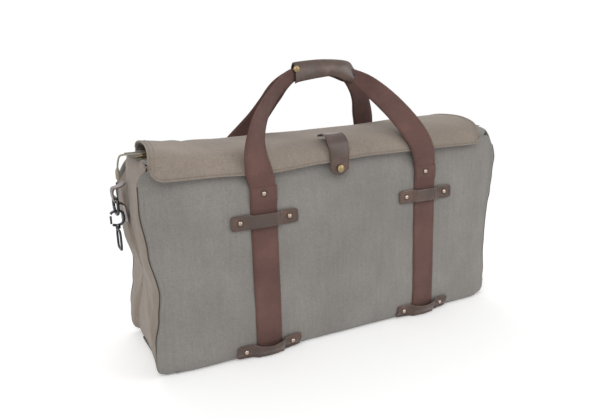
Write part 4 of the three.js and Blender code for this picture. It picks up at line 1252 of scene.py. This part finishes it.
def build_stage():
    scene = bpy.context.scene
    scene.view_settings.view_transform = "Standard"
    world = bpy.data.worlds.new("studio")
    scene.world = world
    world.use_nodes = True
    tree = world.node_tree
    lit = tree.nodes["Background"]
    lit.inputs["Color"].default_value = (1, 1, 1, 1)
    lit.inputs["Strength"].default_value = 0.62
    shown = tree.nodes.new("ShaderNodeBackground")
    shown.inputs["Color"].default_value = (1, 1, 1, 1)
    shown.inputs["Strength"].default_value = 1.0
    tree.links.new(background_mix(tree, lit, shown).outputs[0], tree.nodes["World Output"].inputs["Surface"])
    bm = bmesh.new()
    bmesh.ops.create_grid(bm, x_segments=2, y_segments=2, size=6.0)
    mesh = bpy.data.meshes.new("floor")
    bm.to_mesh(mesh)
    bm.free()
    floor = bpy.data.objects.new("floor", mesh)
    scene.collection.objects.link(floor)
    material = bpy.data.materials.new("pale floor")
    material.use_nodes = True
    shader = material.node_tree.nodes["Principled BSDF"]
    shader.inputs["Base Color"].default_value = (0.93, 0.93, 0.93, 1)
    shader.inputs["Roughness"].default_value = 0.9
    shader.inputs["Emission Color"].default_value = (1, 1, 1, 1)
    shader.inputs["Emission Strength"].default_value = 0.18
    fade_floor(material)
    mesh.materials.append(material)
    for name, place, power, size in (("key", (-1.3, -1.9, 2.2), 34, 1.6), ("fill", (1.8, -1.6, 1.2), 15, 1.6),
                                     ("rim", (0.2, 1.8, 2.0), 16, 1.8)):
        lamp = bpy.data.lights.new(name, "AREA")
        lamp.energy = power
        lamp.size = size
        light = bpy.data.objects.new(name, lamp)
        scene.collection.objects.link(light)
        light.location = place
        light.rotation_euler = (Vector((0, 0, 0.15)) - Vector(place)).to_track_quat("-Z", "Y").to_euler()
    camera = bpy.data.objects.new("camera", bpy.data.cameras.new("camera"))
    scene.collection.objects.link(camera)
    camera.data.sensor_width = 36
    camera.data.lens = CAMERA_LENS
    turn = Matrix.Rotation(math.radians(CAMERA_AZIMUTH), 4, "Z")
    tilt = Matrix.Rotation(math.radians(90 - CAMERA_ELEVATION), 4, "X")
    roll = Matrix.Rotation(math.radians(CAMERA_ROLL), 4, "Z")
    camera.matrix_world = Matrix.Translation(CAMERA_PLACE) @ turn @ tilt @ roll
    scene.camera = camera


# ---- operators, panel and registration ---------------------------------------------------------
class HOLDALL_OT_stage(bpy.types.Operator):
    """Floor, lamps, background and camera"""
    bl_idname = "holdall.stage"
    bl_label = "Stage"

    def execute(self, context):
        build_stage()
        return {"FINISHED"}


class HOLDALL_OT_walls(bpy.types.Operator):
    """Front and back canvas walls"""
    bl_idname = "holdall.walls"
    bl_label = "Canvas walls"

    def execute(self, context):
        build_walls()
        return {"FINISHED"}


class HOLDALL_OT_ends(bpy.types.Operator):
    """The two end panels"""
    bl_idname = "holdall.ends"
    bl_label = "End panels"

    def execute(self, context):
        build_ends()
        return {"FINISHED"}


class HOLDALL_OT_base(bpy.types.Operator):
    """The canvas base"""
    bl_idname = "holdall.base"
    bl_label = "Base"

    def execute(self, context):
        build_base()
        return {"FINISHED"}


class HOLDALL_OT_top(bpy.types.Operator):
    """Canvas beside the zip"""
    bl_idname = "holdall.top"
    bl_label = "Top strips"

    def execute(self, context):
        build_top_strips()
        return {"FINISHED"}


class HOLDALL_OT_lining(bpy.types.Operator):
    """The cotton lining"""
    bl_idname = "holdall.lining"
    bl_label = "Lining"

    def execute(self, context):
        build_lining()
        return {"FINISHED"}


class HOLDALL_OT_seams(bpy.types.Operator):
    """Stitched seams, with a dark line of painted shade along each"""
    bl_idname = "holdall.seams"
    bl_label = "Seams"

    def execute(self, context):
        build_seams()
        return {"FINISHED"}


class HOLDALL_OT_zip(bpy.types.Operator):
    """Zip tapes and teeth"""
    bl_idname = "holdall.zip"
    bl_label = "Zip"

    def execute(self, context):
        build_zip()
        return {"FINISHED"}


class HOLDALL_OT_pull(bpy.types.Operator):
    """The slider's cord pull"""
    bl_idname = "holdall.pull"
    bl_label = "Zip pull"

    def execute(self, context):
        build_pull()
        return {"FINISHED"}


class HOLDALL_OT_flap(bpy.types.Operator):
    """The covering flap and its stitching"""
    bl_idname = "holdall.flap"
    bl_label = "Flap"

    def execute(self, context):
        build_flap()
        return {"FINISHED"}


class HOLDALL_OT_straps(bpy.types.Operator):
    """Webbing straps round the bag"""
    bl_idname = "holdall.straps"
    bl_label = "Girth straps"

    def execute(self, context):
        build_straps()
        return {"FINISHED"}


class HOLDALL_OT_handles(bpy.types.Operator):
    """The two webbing handles"""
    bl_idname = "holdall.handles"
    bl_label = "Handles"

    def execute(self, context):
        build_handles()
        return {"FINISHED"}


class HOLDALL_OT_grip(bpy.types.Operator):
    """The leather grip's two leaves"""
    bl_idname = "holdall.grip"
    bl_label = "Grip"

    def execute(self, context):
        build_grip()
        return {"FINISHED"}


class HOLDALL_OT_snaps(bpy.types.Operator):
    """The snaps on the grip"""
    bl_idname = "holdall.snaps"
    bl_label = "Grip snaps"

    def execute(self, context):
        build_snaps()
        return {"FINISHED"}


class HOLDALL_OT_keepers(bpy.types.Operator):
    """Leather keepers over the straps"""
    bl_idname = "holdall.keepers"
    bl_label = "Keepers"

    def execute(self, context):
        build_keepers()
        return {"FINISHED"}


class HOLDALL_OT_rivets(bpy.types.Operator):
    """Domed rivets and their burrs"""
    bl_idname = "holdall.rivets"
    bl_label = "Rivets"

    def execute(self, context):
        build_rivets()
        return {"FINISHED"}


class HOLDALL_OT_tab(bpy.types.Operator):
    """The leather tab and its snap"""
    bl_idname = "holdall.tab"
    bl_label = "Closing tab"

    def execute(self, context):
        build_tab()
        return {"FINISHED"}


class HOLDALL_OT_end_loops(bpy.types.Operator):
    """Leather loops that carry the rings"""
    bl_idname = "holdall.end_loops"
    bl_label = "End loops"

    def execute(self, context):
        build_end_tabs()
        return {"FINISHED"}


class HOLDALL_OT_hardware(bpy.types.Operator):
    """Finishes for the metal and board"""
    bl_idname = "holdall.hardware"
    bl_label = "Hardware"

    def execute(self, context):
        finish_kept_nodes()
        return {"FINISHED"}


OPERATORS = (
    HOLDALL_OT_stage, HOLDALL_OT_walls, HOLDALL_OT_ends, HOLDALL_OT_base, HOLDALL_OT_top,
    HOLDALL_OT_lining, HOLDALL_OT_seams, HOLDALL_OT_zip, HOLDALL_OT_pull, HOLDALL_OT_flap,
    HOLDALL_OT_straps, HOLDALL_OT_handles, HOLDALL_OT_grip, HOLDALL_OT_snaps, HOLDALL_OT_keepers,
    HOLDALL_OT_rivets, HOLDALL_OT_tab, HOLDALL_OT_end_loops, HOLDALL_OT_hardware,
)


class HOLDALL_PT_sidebar(bpy.types.Panel):
    bl_label = "Holdall"
    bl_space_type = "VIEW_3D"
    bl_region_type = "UI"
    bl_category = "Holdall"

    def draw(self, context):
        for group in (context.scene.holdall_sizes, context.scene.holdall_colours):
            box = self.layout.box()
            for name in type(group).__annotations__:
                box.prop(group, name)
        for kind in OPERATORS:
            self.layout.operator(kind.bl_idname)


CLASSES = (HoldallSizes, HoldallColours, *OPERATORS, HOLDALL_PT_sidebar)


def register():
    for kind in CLASSES:
        bpy.utils.register_class(kind)
    bpy.types.Scene.holdall_sizes = PointerProperty(type=HoldallSizes)
    bpy.types.Scene.holdall_colours = PointerProperty(type=HoldallColours)


def unregister():
    del bpy.types.Scene.holdall_colours
    del bpy.types.Scene.holdall_sizes
    for kind in reversed(CLASSES):
        bpy.utils.unregister_class(kind)


def main():
    register()
    for kind in OPERATORS:
        getattr(bpy.ops.holdall, kind.bl_idname.split(".")[1])()


if __name__ == "__main__":
    main()
